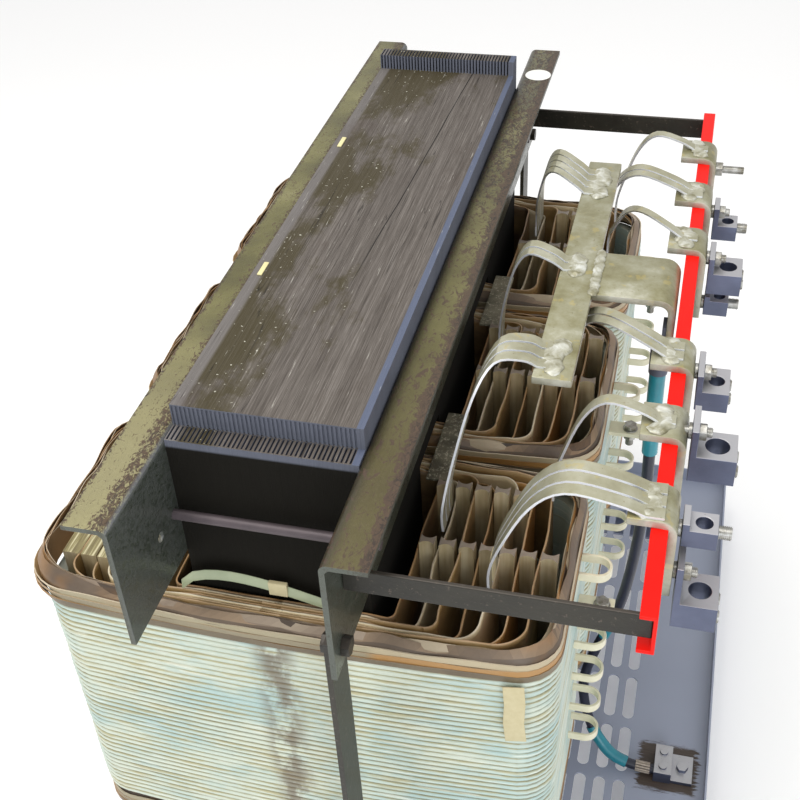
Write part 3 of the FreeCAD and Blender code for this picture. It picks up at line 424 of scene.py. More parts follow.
# %% Red paint of the terminal rail
def rail_red():
    f = Finish("rail_red", coat=0.05)
    f.shader.inputs["Specular IOR Level"].default_value = 0.15
    cloud = f.noise(16.0, detail=3.0)
    scuff = f.noise(70.0, (1.0, 0.4, 1.0), detail=5.0, rough=0.7, distortion=1.0)
    base = f.mix(linear(222, 14, 4), linear(240, 22, 10), cloud)
    worn = f.between(scuff, 0.69, 0.73)
    return f.done(f.mix(base, linear(196, 120, 108), worn * 0.7), 0.38 + worn * 0.2, scuff, 0.0002)


RAIL_RED = rail_red()

# %% [markdown]
# ### Tinned bars
# Bars and strips are dull tin under a skin of amber varnish. Yellow pools in the hollows and
# the thin edges get a painted bluish-white highlight.

# %% Tinned bar
def tinned_bar(name, edges):
    """Varnished tin; edges is how much paler a strip is and how strong its thin edges' painted
    highlight is.
    """
    f = Finish(name, metallic=0.45, coat=0.35, coat_roughness=0.25)
    cloud = f.noise(22.0, detail=6.0, rough=0.62)
    fine = f.noise(210.0, detail=3.0, distortion=0.6)
    base = f.ramp(cloud, (0.28, linear(112, 104, 60)), (0.44, linear(140, 136, 100)),
                  (0.58, linear(160, 158, 132)), (0.74, linear(194, 193, 176)))
    base = f.mix(base, linear(216, 215, 200), edges * 0.30)
    freckle = f.between(fine, 0.64, 0.72)
    base = f.mix(base, linear(116, 104, 62), freckle * 0.55)
    edge = f.between(f.noise(60.0, detail=2.0), 0.62, 0.70)
    base = f.mix(base, linear(190, 170, 90), edge * 0.35)
    # Painted highlight: thin edges that face along Y are near white.
    thin = f.between(abs(f.facing("Y")), 0.55, 0.85)
    base = f.mix(base, linear(238, 242, 250), thin * edges)
    return f.done(base, 0.34 + cloud * 0.25, fine * 0.5 + cloud, 0.0008)


TINNED_BAR = tinned_bar("tinned_bar", 0.15)
TINNED_STRIP = tinned_bar("tinned_strip", 0.85)

# %% [markdown]
# ### Solder
# Solder sets bright and a bit cloudy, with brown flux in its hollows. Three stops of one ramp
# give flux, dull metal and clean metal, which is simpler than a mask for each.

# %% Solder
def solder_metal():
    f = Finish("solder", metallic=0.3, coat=0.2, coat_roughness=0.3)
    cloud = f.noise(60.0, detail=4.0, distortion=0.6)
    base = f.ramp(cloud, (0.35, linear(132, 128, 100)), (0.52, linear(178, 177, 160)),
                  (0.68, linear(216, 218, 212)))
    return f.done(base, 0.36 + cloud * 0.25, cloud, 0.0010)


SOLDER = solder_metal()

# %% [markdown]
# ### Aluminium
# The connectors are cut from an extruded bar. Fine lines run along the cut, tops get a painted
# white sky reflection and sides a painted bluish shade, and small dents are dark, so a metal shader
# gets all three.

# %% Aluminium connectors
def lug_aluminium():
    f = Finish("lug_aluminium", metallic=0.75)
    cloud = f.noise(30.0, detail=4.0)
    lines = f.noise(420.0, (0.05, 1.0, 1.0), detail=2.0)
    # Painted reflection of the sky on tops; painted bluish shade on the sides.
    top = f.between(f.facing("Z"), 0.4, 0.8)
    side = f.mix(linear(82, 87, 106), linear(106, 112, 134), cloud)
    base = f.mix(side, linear(188, 188, 192), top)
    pits = f.between(f.noise(240.0, detail=3.0, rough=0.7), 0.66, 0.72)
    base = f.mix(base, linear(82, 82, 90), pits * 0.55)
    return f.done(base, 0.36 + lines * 0.12, lines * 0.6 + cloud * 0.4, 0.0004)


LUG_ALUMINIUM = lug_aluminium()

# %% [markdown]
# ### Plated screws
# Screws, nuts and washers are zinc plated and have dulled. They are small, so a clean metal
# shader with slow changes of tone and gloss is enough.

# %% Plated screws
def zinc_steel():
    f = Finish("zinc_steel", metallic=0.9)
    cloud = f.noise(90.0, detail=4.0)
    base = f.ramp(cloud, (0.36, linear(128, 124, 112)), (0.62, linear(186, 186, 182)))
    return f.done(base, 0.26 + cloud * 0.2, cloud, 0.0003)


ZINC_STEEL = zinc_steel()

# %% [markdown]
# ### Taped turns
# The outer winding is glass tape soaked in clear resin. Each turn carries an attribute that is
# 0 on its crest and 1 in the groove beside it, so yellow resin gathers where turns meet.

# %% Taped turns
def turn_tape():
    f = Finish("turn_tape", coat=0.25, coat_roughness=0.3)
    groove = f.node("Attribute", {"attribute_name": "groove"}, output="Fac")
    cloud = f.noise(7.0, (1.0, 1.0, 1.6), detail=4.0)
    streak = f.noise(26.0, (0.45, 0.45, 5.0), detail=4.0, rough=0.65)
    weave = f.noise(330.0, (1.0, 1.0, 2.2), detail=2.0)
    pale = f.mix(linear(174, 198, 194), linear(204, 212, 196), f.between(cloud, 0.38, 0.62))
    resin = f.between(streak + groove * 0.30, 0.56, 0.76)
    base = f.mix(pale, linear(180, 166, 112), resin * 0.66)
    gap = f.between(groove, 0.50, 1.0)
    base = f.mix(base, linear(140, 130, 84), gap * 0.60)
    # Painted highlight: thin bright streaks run along the turns.
    lit = f.between(f.noise(40.0, (0.3, 0.3, 7.0), detail=2.0), 0.60, 0.66)
    base = f.mix(base, linear(228, 232, 220), lit * 0.5)
    top = f.between(f.facing("Z"), 0.80, 0.97)
    base = f.mix(base, linear(112, 104, 84), top * 0.6)
    # A dirty smear runs down the middle of the near coil's face.
    face_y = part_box("winding_near")[0].y
    smear = f.inside(f.x, CORE_MIDDLE_X - 0.02, CORE_MIDDLE_X + 0.02, 0.015)
    smear = smear * (1.0 - f.between(f.y, face_y + 0.0174, face_y + 0.0274))
    dirt = f.between(f.noise(34.0, (1.0, 1.0, 0.7), detail=5.0), 0.36, 0.56)
    base = f.mix(base, linear(104, 86, 66), smear * dirt * 0.75)
    return f.done(base, 0.50 - resin * 0.12, weave * 0.4 + streak * 0.6, 0.0007)


TURN_TAPE = turn_tape()

# %% [markdown]
# ### Barrier papers
# Layers of paper soaked in varnish part the windings, each a different brown. Every sheet
# carries one number, its tone, as an attribute, so a single finish can colour them all apart.

# %% Barrier papers
def barrier_paper(name, light, middle, dark):
    f = Finish(name, coat=0.3, coat_roughness=0.35)
    cloud = f.noise(12.0, (1.0, 1.0, 2.4), detail=5.0, rough=0.62)
    sheet = f.node("Attribute", {"attribute_name": "sheet"}, output="Fac")
    tone = cloud * 0.40 + sheet * 0.60
    base = f.ramp(tone, (0.22, dark), (0.42, middle), (0.64, light),
                  (0.86, tuple(min(1.0, c * 1.30) for c in light)))
    amber = f.between(f.noise(9.0, (1.0, 1.0, 1.8), detail=3.0), 0.56, 0.70)
    base = f.mix(base, linear(150, 104, 44), amber * 0.42)
    # On the terminal side one sheet in a cuff is ochre and another is cream.
    terminal = f.between(f.x, CORE_FACE_X, CORE_FACE_X + 0.02)
    base = f.mix(base, linear(176, 126, 58), f.inside(sheet, 0.40, 0.60, 0.05) * terminal * 0.8)
    base = f.mix(base, linear(196, 180, 148), f.between(sheet, 0.66, 0.74) * terminal * 0.6)
    # The sheets that stand up at the back of a coil are amber through and through.
    back = f.between(CORE_MIDDLE_X - f.x, 0.262, 0.290)
    base = f.mix(base, linear(152, 110, 58), back * 0.55)
    rim = f.between(f.facing("Z"), 0.6, 0.95)
    base = f.mix(base, f.mix(linear(158, 112, 52), linear(206, 198, 178), sheet), rim * 0.7)
    fibre = f.noise(150.0, (1.0, 1.0, 0.4), detail=3.0)
    return f.done(base, 0.55 - amber * 0.2, fibre * 0.4 + cloud * 0.6, 0.0008)


INNER_PAPER = barrier_paper("inner_paper", linear(190, 174, 138), linear(150, 122, 76),
                            linear(96, 74, 50))
COLLAR_PAPER = barrier_paper("collar_paper", linear(122, 106, 90), linear(90, 75, 60),
                             linear(54, 41, 30))
BAND_PAPER = barrier_paper("band_paper", linear(150, 140, 112), linear(130, 118, 92),
                           linear(94, 80, 58))

# %% [markdown]
# ### Spacer sticks
# Sticks of pressed board hold the air ducts open. Down in a duct little light and much dust
# arrive, so the finish darkens with depth below the coil's top instead of relying on shadow.

# %% Spacer sticks
COIL_TOP_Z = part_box("collars_near")[1].z


def duct_stick():
    f = Finish("duct_stick", coat=0.25, coat_roughness=0.3)
    cloud = f.noise(8.0, detail=4.0)
    fibre = f.noise(120.0, (1.0, 1.0, 0.05), detail=3.0)
    base = f.ramp(cloud * 0.6 + fibre * 0.4, (0.32, linear(140, 122, 86)),
                  (0.50, linear(182, 166, 130)), (0.68, linear(214, 202, 170)))
    # Painted shade, with varnish and dust, darkens a stick down its duct.
    deep = f.between(COIL_TOP_Z - f.z, 0.0, 0.16)
    base = f.mix(base, linear(52, 42, 28), deep * 0.8)
    end = f.between(f.facing("Z"), 0.6, 0.9)
    # Cut ends are mauve grey; those at the back are ribbed board, olive with pale lines.
    back = 1.0 - f.between(f.x, CORE_MIDDLE_X - 0.13, CORE_MIDDLE_X - 0.11)
    ribs = f.noise(300.0, (1.0, 0.04, 1.0), detail=2.0)
    board = f.ramp(ribs, (0.36, linear(84, 74, 36)), (0.52, linear(128, 120, 74)),
                   (0.64, linear(202, 196, 160)))
    cut = f.mix(linear(128, 116, 108), board, back)
    return f.done(f.mix(base, cut, end * 0.85), 0.45, fibre, 0.0006)


DUCT_STICK = duct_stick()

# %% [markdown]
# ### Laminate plates
# Plates of mica laminate stand between neighbouring coils. They are grey-brown and sprinkled
# with pale flakes, and a narrow step of fine noise gives flakes with crisp edges.

# %% Speckled laminate plates
def mica_plate():
    f = Finish("mica_plate", coat=0.2)
    speck = f.noise(260.0, detail=4.0, rough=0.75)
    cloud = f.noise(20.0, detail=3.0)
    base = f.ramp(cloud, (0.35, linear(88, 84, 68)), (0.65, linear(142, 136, 114)))
    dots = f.between(speck, 0.55, 0.61)
    return f.done(f.mix(base, linear(206, 200, 176), dots * 0.75), 0.5, speck, 0.0005)


MICA_PLATE = mica_plate()

# %% [markdown]
# ### Grey pan
# Smooth blue-grey enamel. Around the ground connector the enamel was scraped off to bare the
# steel, in strokes, so a ragged dark patch follows the connector's box.

# %% Pan enamel
def pan_grey():
    f = Finish("pan_grey", coat=0.15)
    low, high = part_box("ground_lug")
    cloud = f.noise(3.0, detail=3.0)
    grain = f.noise(500.0, detail=2.0)
    base = f.mix(linear(142, 149, 168), linear(168, 175, 194), cloud)
    ragged = f.noise(60.0, (0.5, 3.0, 1.0), detail=4.0, rough=0.7) - 0.5
    patch = (f.inside(f.x + ragged * 0.05, low.x - 0.026, high.x + 0.006, 0.004)
             * f.inside(f.y + ragged * 0.03, low.y - 0.016, high.y + 0.018, 0.004))
    strokes = f.noise(90.0, (0.4, 4.0, 1.0), detail=4.0)
    bare = f.mix(linear(52, 44, 40), linear(98, 84, 74), strokes)
    return f.done(f.mix(base, bare, patch), 0.42 + patch * 0.2, grain + strokes * patch, 0.0002)


PAN_GREY = pan_grey()

# %% [markdown]
# ### Plain finishes
# Rubber, tape, labels and rods need no marks of their own. One function mixes two near colours
# by noise and lets the gloss follow, so each of these finishes is a single call.

# %% Plain rubbers, label and tape
def simple_finish(name, first, second, roughness, scale, depth, metallic=0.0, coat=0.0):
    """Two near colours mixed by noise, rougher where the noise is high."""
    f = Finish(name, metallic=metallic, coat=coat)
    cloud = f.noise(scale, detail=4.0)
    return f.done(f.mix(first, second, cloud), roughness + cloud * 0.15, cloud, depth)


PAD_RUBBER = simple_finish("pad_rubber", linear(24, 24, 24), linear(46, 46, 46), 0.6, 90.0, 0.0004)
CABLE_BLACK = simple_finish("cable_black", linear(14, 18, 32), linear(34, 38, 60), 0.34, 60.0,
                            0.0004, coat=0.2)
SLEEVE_TEAL = simple_finish("sleeve_teal", linear(2, 108, 126), linear(24, 150, 166), 0.3, 50.0,
                            0.0004, coat=0.4)
BARREL_GREY = simple_finish("barrel_grey", linear(74, 78, 92), linear(104, 108, 124), 0.4, 60.0,
                            0.0003, metallic=0.3)
LABEL_WHITE = simple_finish("label_white", linear(224, 224, 220), linear(244, 244, 240), 0.55,
                            80.0, 0.0001)
TAG_CREAM = simple_finish("tag_cream", linear(206, 196, 140), linear(226, 218, 172), 0.5, 90.0,
                          0.0003)
TAP_CREAM = simple_finish("tap_cream", linear(206, 200, 168), linear(234, 230, 208), 0.4, 50.0,
                          0.0006, coat=0.3)
ROD_STEEL = simple_finish("rod_steel", linear(70, 62, 66), linear(104, 94, 98), 0.42, 40.0,
                          0.0004, metallic=0.3)
TAPE_TAN = simple_finish("tape_tan", linear(184, 172, 132), linear(208, 198, 162), 0.6, 120.0,
                         0.0006)
STRIP_GREEN = simple_finish("strip_green", linear(138, 150, 120), linear(170, 178, 146), 0.35,
                            40.0, 0.0003, coat=0.4)
COPPER_BARE = simple_finish("copper_bare", linear(120, 108, 96), linear(190, 180, 168), 0.35,
                            200.0, 0.0004, metallic=0.8)
print(len(bpy.data.materials), "materials")

# %% [markdown]
# ## Modelling helpers
# The same few moves make every piece: add a primitive, shape it in edit mode, apply modifiers,
# then settle it: its place goes into its mesh, and it gets a finish and rides on the frame.

# %% Selecting and opening a mesh
def clear_selection():
    """Out of edit mode with nothing selected."""
    if bpy.context.object and bpy.context.object.mode != "OBJECT":
        bpy.ops.object.mode_set(mode="OBJECT")
    bpy.ops.object.select_all(action="DESELECT")


def only(obj):
    """Selects one object and makes it the active one."""
    clear_selection()
    obj.select_set(True)
    bpy.context.view_layer.objects.active = obj


def open_mesh(obj):
    """Into edit mode with the whole mesh selected."""
    only(obj)
    bpy.ops.object.mode_set(mode="EDIT")
    bpy.ops.mesh.select_all(action="SELECT")


def close_mesh():
    """Back to object mode."""
    bpy.ops.object.mode_set(mode="OBJECT")


print("meshes can be opened and closed")


# %% Modifying, joining and settling
def modify(obj, kind, **settings):
    """Add a modifier, set it and apply it."""
    only(obj)
    modifier = obj.modifiers.new(kind.lower(), kind)
    for key, value in settings.items():
        setattr(modifier, key, value)
    bpy.ops.object.modifier_apply(modifier=modifier.name)
    return obj


def joined(objects):
    """All the objects as one, under the first one's name."""
    clear_selection()
    for obj in objects:
        obj.select_set(True)
    bpy.context.view_layer.objects.active = objects[0]
    if len(objects) > 1:
        bpy.ops.object.join()
    return bpy.context.view_layer.objects.active


def settle(obj, name, finish, slot, *nodes, smooth=35.0):
    """Bakes a piece's place into its mesh, gives it its finish and puts it on the frame."""
    only(obj)
    bpy.ops.object.transform_apply(location=True, rotation=True, scale=True)
    bpy.ops.object.shade_smooth_by_angle(angle=math.radians(smooth))
    obj.name = name
    obj.data.name = name
    obj.data.materials.clear()
    obj.data.materials.append(finish)
    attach(obj, "root")
    if nodes:
        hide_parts(*nodes)
    print(name, "with", len(obj.data.polygons), "faces")
    return obj


print("pieces can be settled on the frame")

# %% Copies and loose parts
MERGE_DISTANCE = 0.00001


def copy_of(obj, place, turn=(0, 0, 0)):
    """A copy with its own mesh, turned and moved."""
    other = bpy.data.objects.new(obj.name, obj.data.copy())
    bpy.context.scene.collection.objects.link(other)
    other.location = place
    other.rotation_euler = turn
    bpy.context.view_layer.update()
    return other


def copy_of_node(node):
    """A CAD node's mesh as one closed surface, on an object of its own."""
    obj = bpy.data.objects.new(node + "_copy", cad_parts[node].data.copy())
    bpy.context.scene.collection.objects.link(obj)
    open_mesh(obj)
    bpy.ops.mesh.remove_doubles(threshold=MERGE_DISTANCE)
    close_mesh()
    return obj


def corners(obj):
    """The low and the high corner of a mesh's box."""
    places = [vertex.co for vertex in obj.data.vertices]
    low = Vector([min(p[i] for p in places) for i in range(3)])
    high = Vector([max(p[i] for p in places) for i in range(3)])
    return low, high


def loose_parts(obj):
    """A mesh parted into its separate solids."""
    open_mesh(obj)
    bpy.ops.mesh.separate(type="LOOSE")
    close_mesh()
    return list(bpy.context.selected_objects)


def solids_of(node):
    """The boxes of a CAD node's separate solids, from near to far."""
    parts = loose_parts(copy_of_node(node))
    boxes = sorted((corners(part) for part in parts), key=lambda b: b[0].y)
    for part in parts:
        bpy.data.objects.remove(part)
    return boxes


print("CAD nodes can be copied and parted")

# %% Softened copies of CAD pieces
FLAT_ANGLE = math.radians(0.5)       # faces that meet flatter than this become one
SHARP_ANGLE = math.radians(40)       # edges sharper than this are rounded
CRISP = 20.0                         # smoothing stays below a bevel's own steps, in degrees


def softened(node, edge, finish, slot):
    """A CAD piece with its sharp edges rounded as rolled or painted metal is."""
    obj = copy_of_node(node)
    open_mesh(obj)
    bpy.ops.mesh.dissolve_limited(angle_limit=FLAT_ANGLE)
    close_mesh()
    modify(obj, "BEVEL", width=edge, segments=2, limit_method="ANGLE", angle_limit=SHARP_ANGLE)
    return settle(obj, node + "_finished", finish, slot, node, smooth=CRISP)


print("CAD pieces can be softened")


# %% Bars and strips
def bar(low, high, edge=0.001):
    """A box from corner to corner with rounded edges."""
    clear_selection()
    low = Vector(low)
    high = Vector(high)
    bpy.ops.mesh.primitive_cube_add(size=1, location=(low + high) / 2, scale=high - low)
    obj = bpy.context.object
    bpy.ops.object.transform_apply(location=True, rotation=True, scale=True)
    return modify(obj, "BEVEL", width=edge, segments=2, limit_method="ANGLE")


def strip(points, across, thick, edge=0.0006):
    """A flat bar bent through points: an edge as wide as the bar is extruded along them."""
    clear_selection()
    points = [Vector(p) for p in points]
    half = Vector(across) / 2
    bpy.ops.mesh.primitive_plane_add(size=1)
    obj = bpy.context.object
    corners_of_first = (points[0] - half, points[1] - half, points[0] + half, points[1] + half)
    for vertex, place in zip(obj.data.vertices, corners_of_first):
        vertex.co = place
        vertex.select = False
    for face in obj.data.polygons:
        face.select = False
    for line in obj.data.edges:
        line.select = set(line.vertices) == {1, 3}
    obj.data.vertices[1].select = True
    obj.data.vertices[3].select = True
    bpy.ops.object.mode_set(mode="EDIT")
    for before, after in zip(points[1:], points[2:]):
        bpy.ops.mesh.extrude_region_move(TRANSFORM_OT_translate={"value": after - before})
    bpy.ops.object.mode_set(mode="OBJECT")
    modify(obj, "SOLIDIFY", thickness=thick, offset=0.0, use_even_offset=True)
    return modify(obj, "BEVEL", width=edge, segments=2, limit_method="ANGLE",
                  angle_limit=math.radians(60))


print("bars and strips can be made")

# %% Bends and blobs
SOLDER_SWELL = 0.28      # how uneven a ball of solder is, as a share of its size
SOLDER_RIPPLE = 0.35     # the finer unevenness, as a share of that
SOLDER_BASE = -0.35      # where a ball of solder is cut flat, as a share of its radius


def bend(centre, radius, start, end, steps=5):
    """Points of an arc in an upright plane along X, angles in degrees from +X towards +Z."""
    out = []
    for k in range(steps + 1):
        a = math.radians(start + (end - start) * k / steps)
        out.append(Vector((centre[0] + radius * math.cos(a), centre[1],
                           centre[2] + radius * math.sin(a))))
    return out


def blob(place, size, seed):
    """A lump of set solder."""
    clear_selection()
    bpy.ops.mesh.primitive_ico_sphere_add(subdivisions=4, radius=1.0)
    obj = bpy.context.object
    for vertex in obj.data.vertices:
        swell = noise.noise(vertex.co * 1.7 + Vector((seed * 3.1, 0, 0)))
        ripple = noise.noise(vertex.co * 4.5 + Vector((0, seed * 2.3, 0)))
        vertex.co *= 1.0 + SOLDER_SWELL * swell + SOLDER_RIPPLE * SOLDER_SWELL * ripple
        if vertex.co.z < SOLDER_BASE:
            vertex.co.z = SOLDER_BASE
    obj.scale = size
    obj.location = place
    bpy.ops.object.transform_apply(location=True, rotation=True, scale=True)
    return obj


print("bends and blobs can be made")

# %% [markdown]
# ## Core, clamps and base
# These CAD shapes are right as they are, comb-like laps and slots included. The angle irons,
# the rail and the arms get their edges rounded, because a rolled edge catches a line of light.

# %% Finishes on CAD pieces
PLAIN_NODES = {
    "bottom_yoke": CORE_STEEL, "top_yoke": CORE_STEEL,
    "limb_near": CORE_STEEL, "limb_middle": CORE_STEEL, "limb_far": CORE_STEEL,
    "base_pan": PAN_GREY, "base_rails": PAN_GREY, "support_feet": CLAMP_VARNISH,
    "isolation_pads": PAD_RUBBER, "coil_supports": DUCT_STICK,
    "spacers_near": DUCT_STICK, "spacers_middle": DUCT_STICK, "spacers_far": DUCT_STICK,
}
ROLLED_EDGE = 0.0012
SAWN_EDGE = 0.0008


def dress(node, finish):
    """Gives a CAD node its finish and leaves its shape alone."""
    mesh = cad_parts[node].data
    mesh.materials.clear()
    mesh.materials.append(finish)


for node, finish in PLAIN_NODES.items():
    dress(node, finish)
for node in ("top_clamp_left", "top_clamp_right", "bottom_clamp_left", "bottom_clamp_right"):
    softened(node, ROLLED_EDGE, CLAMP_VARNISH, "clamp_varnish")
softened("terminal_rail", 0.0010, RAIL_RED, "rail_red")
softened("rail_arms", ROLLED_EDGE, DARK_STEEL, "dark_steel")
softened("tie_straps", SAWN_EDGE, DARK_STEEL, "dark_steel")
softened("top_tie_rods", SAWN_EDGE, ROD_STEEL, "dark_steel")
softened("bottom_tie_rods", SAWN_EDGE, DARK_STEEL, "dark_steel")
softened("insulation_plates", SAWN_EDGE, MICA_PLATE, "mica_plate")

# %% [markdown]
# ## Outer windings
# One taped turn is a hoop whose section bulges. A loop of vertices is laid on the CAD
# winding's own outline and extruded up in short steps, growing and shrinking a little. The
# turn is then copied up the coil, and slow noise makes the stack as uneven as hand winding.

# %% Outline of a ring-shaped CAD piece
OUTLINE_STEP = 0.012


def outline_of(node, height):
    """Even points along the outermost line where a level plane cuts a CAD piece."""
    obj = copy_of_node(node)
    open_mesh(obj)
    bpy.ops.mesh.bisect(plane_co=(0, 0, height), plane_no=(0, 0, 1), clear_inner=True,
                        clear_outer=True)
    close_mesh()
    near = {}
    for line in obj.data.edges:
        a, b = line.vertices
        near.setdefault(a, []).append(b)
        near.setdefault(b, []).append(a)
    places = [vertex.co.copy() for vertex in obj.data.vertices]
    start = max(near, key=lambda i: places[i].x)
    path = [start]
    while True:
        ahead = [i for i in near[path[-1]] if i not in path[-2:]]
        if not ahead or ahead[0] == start:
            break
        path.append(ahead[0])
    bpy.data.objects.remove(obj)
    return even_loop([places[i] for i in path])


def even_loop(points):
    """The same closed loop with its points spaced evenly."""
    closed = points + [points[0]]
    runs = [(b - a).length for a, b in zip(closed, closed[1:])]
    count = round(sum(runs) / OUTLINE_STEP)
    out = []
    k = 0
    done = 0.0
    for i in range(count):
        goal = sum(runs) * i / count
        while done + runs[k] < goal:
            done += runs[k]
            k += 1
        out.append(closed[k].lerp(closed[k + 1], (goal - done) / max(runs[k], 1e-9)))
    return out


print("outlines come in steps of", OUTLINE_STEP)


# %% A hoop on an outline
def hoop(outline, height, steps):
    """A loop at a height, extruded by (outward, upward) steps."""
    clear_selection()
    bpy.ops.mesh.primitive_circle_add(vertices=len(outline))
    obj = bpy.context.object
    for vertex, place in zip(obj.data.vertices, outline):
        vertex.co = (place.x, place.y, height)
    low, high = corners(obj)
    centre = (low + high) / 2
    half = (high - low) / 2
    open_mesh(obj)
    for outward, upward in steps:
        bpy.ops.mesh.extrude_region_move(TRANSFORM_OT_translate={"value": (0, 0, upward)})
        bpy.ops.transform.resize(value=(1 + outward / half.x, 1 + outward / half.y, 1),
                                 center_override=centre)
    close_mesh()
    return obj


def set_attribute(obj, name, values):
    """A number for each vertex, which a finish can read by name."""
    attribute = obj.data.attributes.new(name, "FLOAT", "POINT")
    attribute.data.foreach_set("value", values)


print("hoops follow any outline")


# %% Turns on each coil
COILS = ("near", "middle", "far")
TURN_STEPS = ((0.0015, 0.0010), (0.0008, 0.0018), (0.0, 0.0018), (-0.0008, 0.0018),
              (-0.0015, 0.0010))
TURN_GROOVE = (1.0, 0.45, 0.05, 0.0, 0.45, 1.0)
TURN_GAP = 0.0016        # between one turn and the next
TURN_SLIP = 0.0004       # how far a turn may sit to the side of its neighbours
FIRST_TURN = 0.0004      # above the winding's foot


def taped_turns(coil):
    """The stack of turns on one coil, and how many they are."""
    node = "winding_" + coil
    low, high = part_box(node)
    outline = outline_of(node, (low.z + high.z) / 2)
    turn = hoop(outline, 0.0, TURN_STEPS)
    ring = len(outline)
    set_attribute(turn, "groove", [level for level in TURN_GROOVE for _ in range(ring)])
    pitch = sum(up for _, up in TURN_STEPS) + TURN_GAP
    count = int((high.z - low.z) / pitch)
    pitch = (high.z - low.z) / count
    rng = random.Random(7)
    turns = [turn]
    for k in range(1, count):
        turns.append(copy_of(turn, (rng.uniform(-TURN_SLIP, TURN_SLIP), 0, k * pitch)))
    stack = joined(turns)
    bpy.ops.object.transform_apply(location=True, rotation=True, scale=True)
    middle = (low + high) / 2
    for vertex in stack.data.vertices:
        place = vertex.co
        slow = Vector((place.x * 7, place.y * 7, place.z * 16))
        fine = Vector((place.x * 24, place.y * 24, place.z * 60))
        lift = 0.0016 * noise.noise(slow) + 0.0007 * noise.noise(fine)
        swell = 1.0 + 0.004 * noise.noise(slow + Vector((9, 0, 0)))
        vertex.co = Vector((middle.x + (place.x - middle.x) * swell,
                            middle.y + (place.y - middle.y) * swell,
                            low.z + FIRST_TURN + place.z + lift))
    return settle(stack, node + "_turns", TURN_TAPE, "turn_tape", smooth=60.0), count


for coil in COILS:
    dress("winding_" + coil, TURN_TAPE)
    turns, count = taped_turns(coil)
    print(count, "turns on the", coil, "coil")

# %% [markdown]
# ## Papers on the coils' ends
# Above and below the turns each coil ends in a few laps of tan band and a cuff of varnished
# papers, one inside the other. Papers are thin hoops whose upper edge waves, so that edge is
# moved by noise and the sheet then gets its thickness.

# %% One sheet of a collar
SHEET_WAVE = 0.0075      # how far a free edge waves up and down
SHEET_SWAY = 0.0044      # and in and out
BACK_START = 0.60        # the back of a coil begins here, as a share of its half width
BACK_SAG = 0.015         # how far sheets lean out at the back of a coil's top
BACK_RISE = 0.018        # and how far they stand up there
COIL_FOOT_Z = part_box("collars_near")[0].z


def upright(foot):
    """1 for a sheet at the top of a coil, 0 for one at its foot."""
    return 1.0 if foot > (COIL_TOP_Z + COIL_FOOT_Z) / 2 else 0.0


def paper_hoop(outline, low, height, inset, flare, seed, thick=0.0009, wave=1.0):
    """One sheet of a cuff on its outline; on a coil's top it leans out and rises at the back."""
    steps = [(0.0, height * 0.35), (flare * 0.3, height * 0.35), (flare * 0.7, height * 0.3)]
    sheet = hoop(outline, low, steps)
    box_low, box_high = corners(sheet)
    middle = (box_low + box_high) / 2
    half = (box_high - box_low) / 2
    for vertex in sheet.data.vertices:
        share = max(0.0, (vertex.co.z - low) / height)
        along = Vector((vertex.co.x * 19, vertex.co.y * 19, seed * 5.0))
        lift = SHEET_WAVE * wave * noise.noise(along) * share
        sway = inset + SHEET_SWAY * wave * noise.noise(along + Vector((5, 0, 0))) * share
        back = max(0.0, (middle.x - vertex.co.x) / half.x - BACK_START) / (1.0 - BACK_START)
        vertex.co.x = middle.x + (vertex.co.x - middle.x) * (1 - sway / half.x)
        vertex.co.y = middle.y + (vertex.co.y - middle.y) * (1 - sway / half.y)
        vertex.co.x -= BACK_SAG * back * upright(low) * (0.3 + 0.7 * share)
        rise = BACK_RISE * wave * back * share * upright(low)
        vertex.co.z += lift + rise
    modify(sheet, "SOLIDIFY", thickness=thick, offset=-1.0)
    set_attribute(sheet, "sheet", [(seed * 0.37) % 1.0] * len(sheet.data.vertices))
    return sheet


print("a sheet waves by", SHEET_WAVE)

# %% Bands and cuffs at both ends of a coil
# foot and height of each lap of band, as shares of the coil's bare end
BAND_LAPS = ((0.0, 0.24), (0.25, 0.23), (0.49, 0.22))
BAND_WALL = 0.0016
BAND_IN = 0.0004         # the lowest lap lies this far inside the coil's outline
BAND_GAP = 0.0006        # and each lap above it this much further
CUFF_SHEETS = 5
CUFF_START = 0.40        # the cuff's foot, as such a share
CUFF_STEP = 0.03         # each sheet inward is lower by such a share
CUFF_IN = 0.0026         # the outermost sheet lies this far inside the outline
CUFF_GAP = 0.0023        # and each next one this much further
CUFF_LEAN = -0.0105      # the outermost sheet's upper edge leans in by this much
CUFF_LEAN_STEP = 0.0012  # and each next one by this much less


def collar(coil):
    """Bands and papers above and below the turns."""
    node = "collars_" + coil
    low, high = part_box(node)
    turns_low, turns_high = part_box("winding_" + coil)
    outline = outline_of(node, high.z - 0.002)
    bands = []
    papers = []
    for base, top in ((low.z, turns_low.z), (turns_high.z, high.z)):
        up = top - base
        for k, (start, share) in enumerate(BAND_LAPS):
            bands.append(paper_hoop(outline, base + up * start, up * share,
                                    BAND_IN + BAND_GAP * k, 0.0, seed=3 + k, thick=BAND_WALL,
                                    wave=0.25))
        for k in range(CUFF_SHEETS):
            papers.append(paper_hoop(outline, base + up * CUFF_START,
                                     up * (1.0 - CUFF_START - CUFF_STEP * k),
                                     CUFF_IN + CUFF_GAP * k, CUFF_LEAN_STEP * k + CUFF_LEAN,
                                     seed=11 + k + base))
    settle(joined(bands), node + "_bands", BAND_PAPER, "barrier_paper", node, smooth=50.0)
    settle(joined(papers), node + "_papers", COLLAR_PAPER, "barrier_paper", node, smooth=50.0)


for coil in COILS:
    collar(coil)

# %% [markdown]
# Inside the cuff, more sheets part the windings of a coil. CAD has them as plain upright
# walls. A wall can only wave where it has vertices, so it is first bisected along a grid, and
# its upper edge then gets its own height, tone and waves.

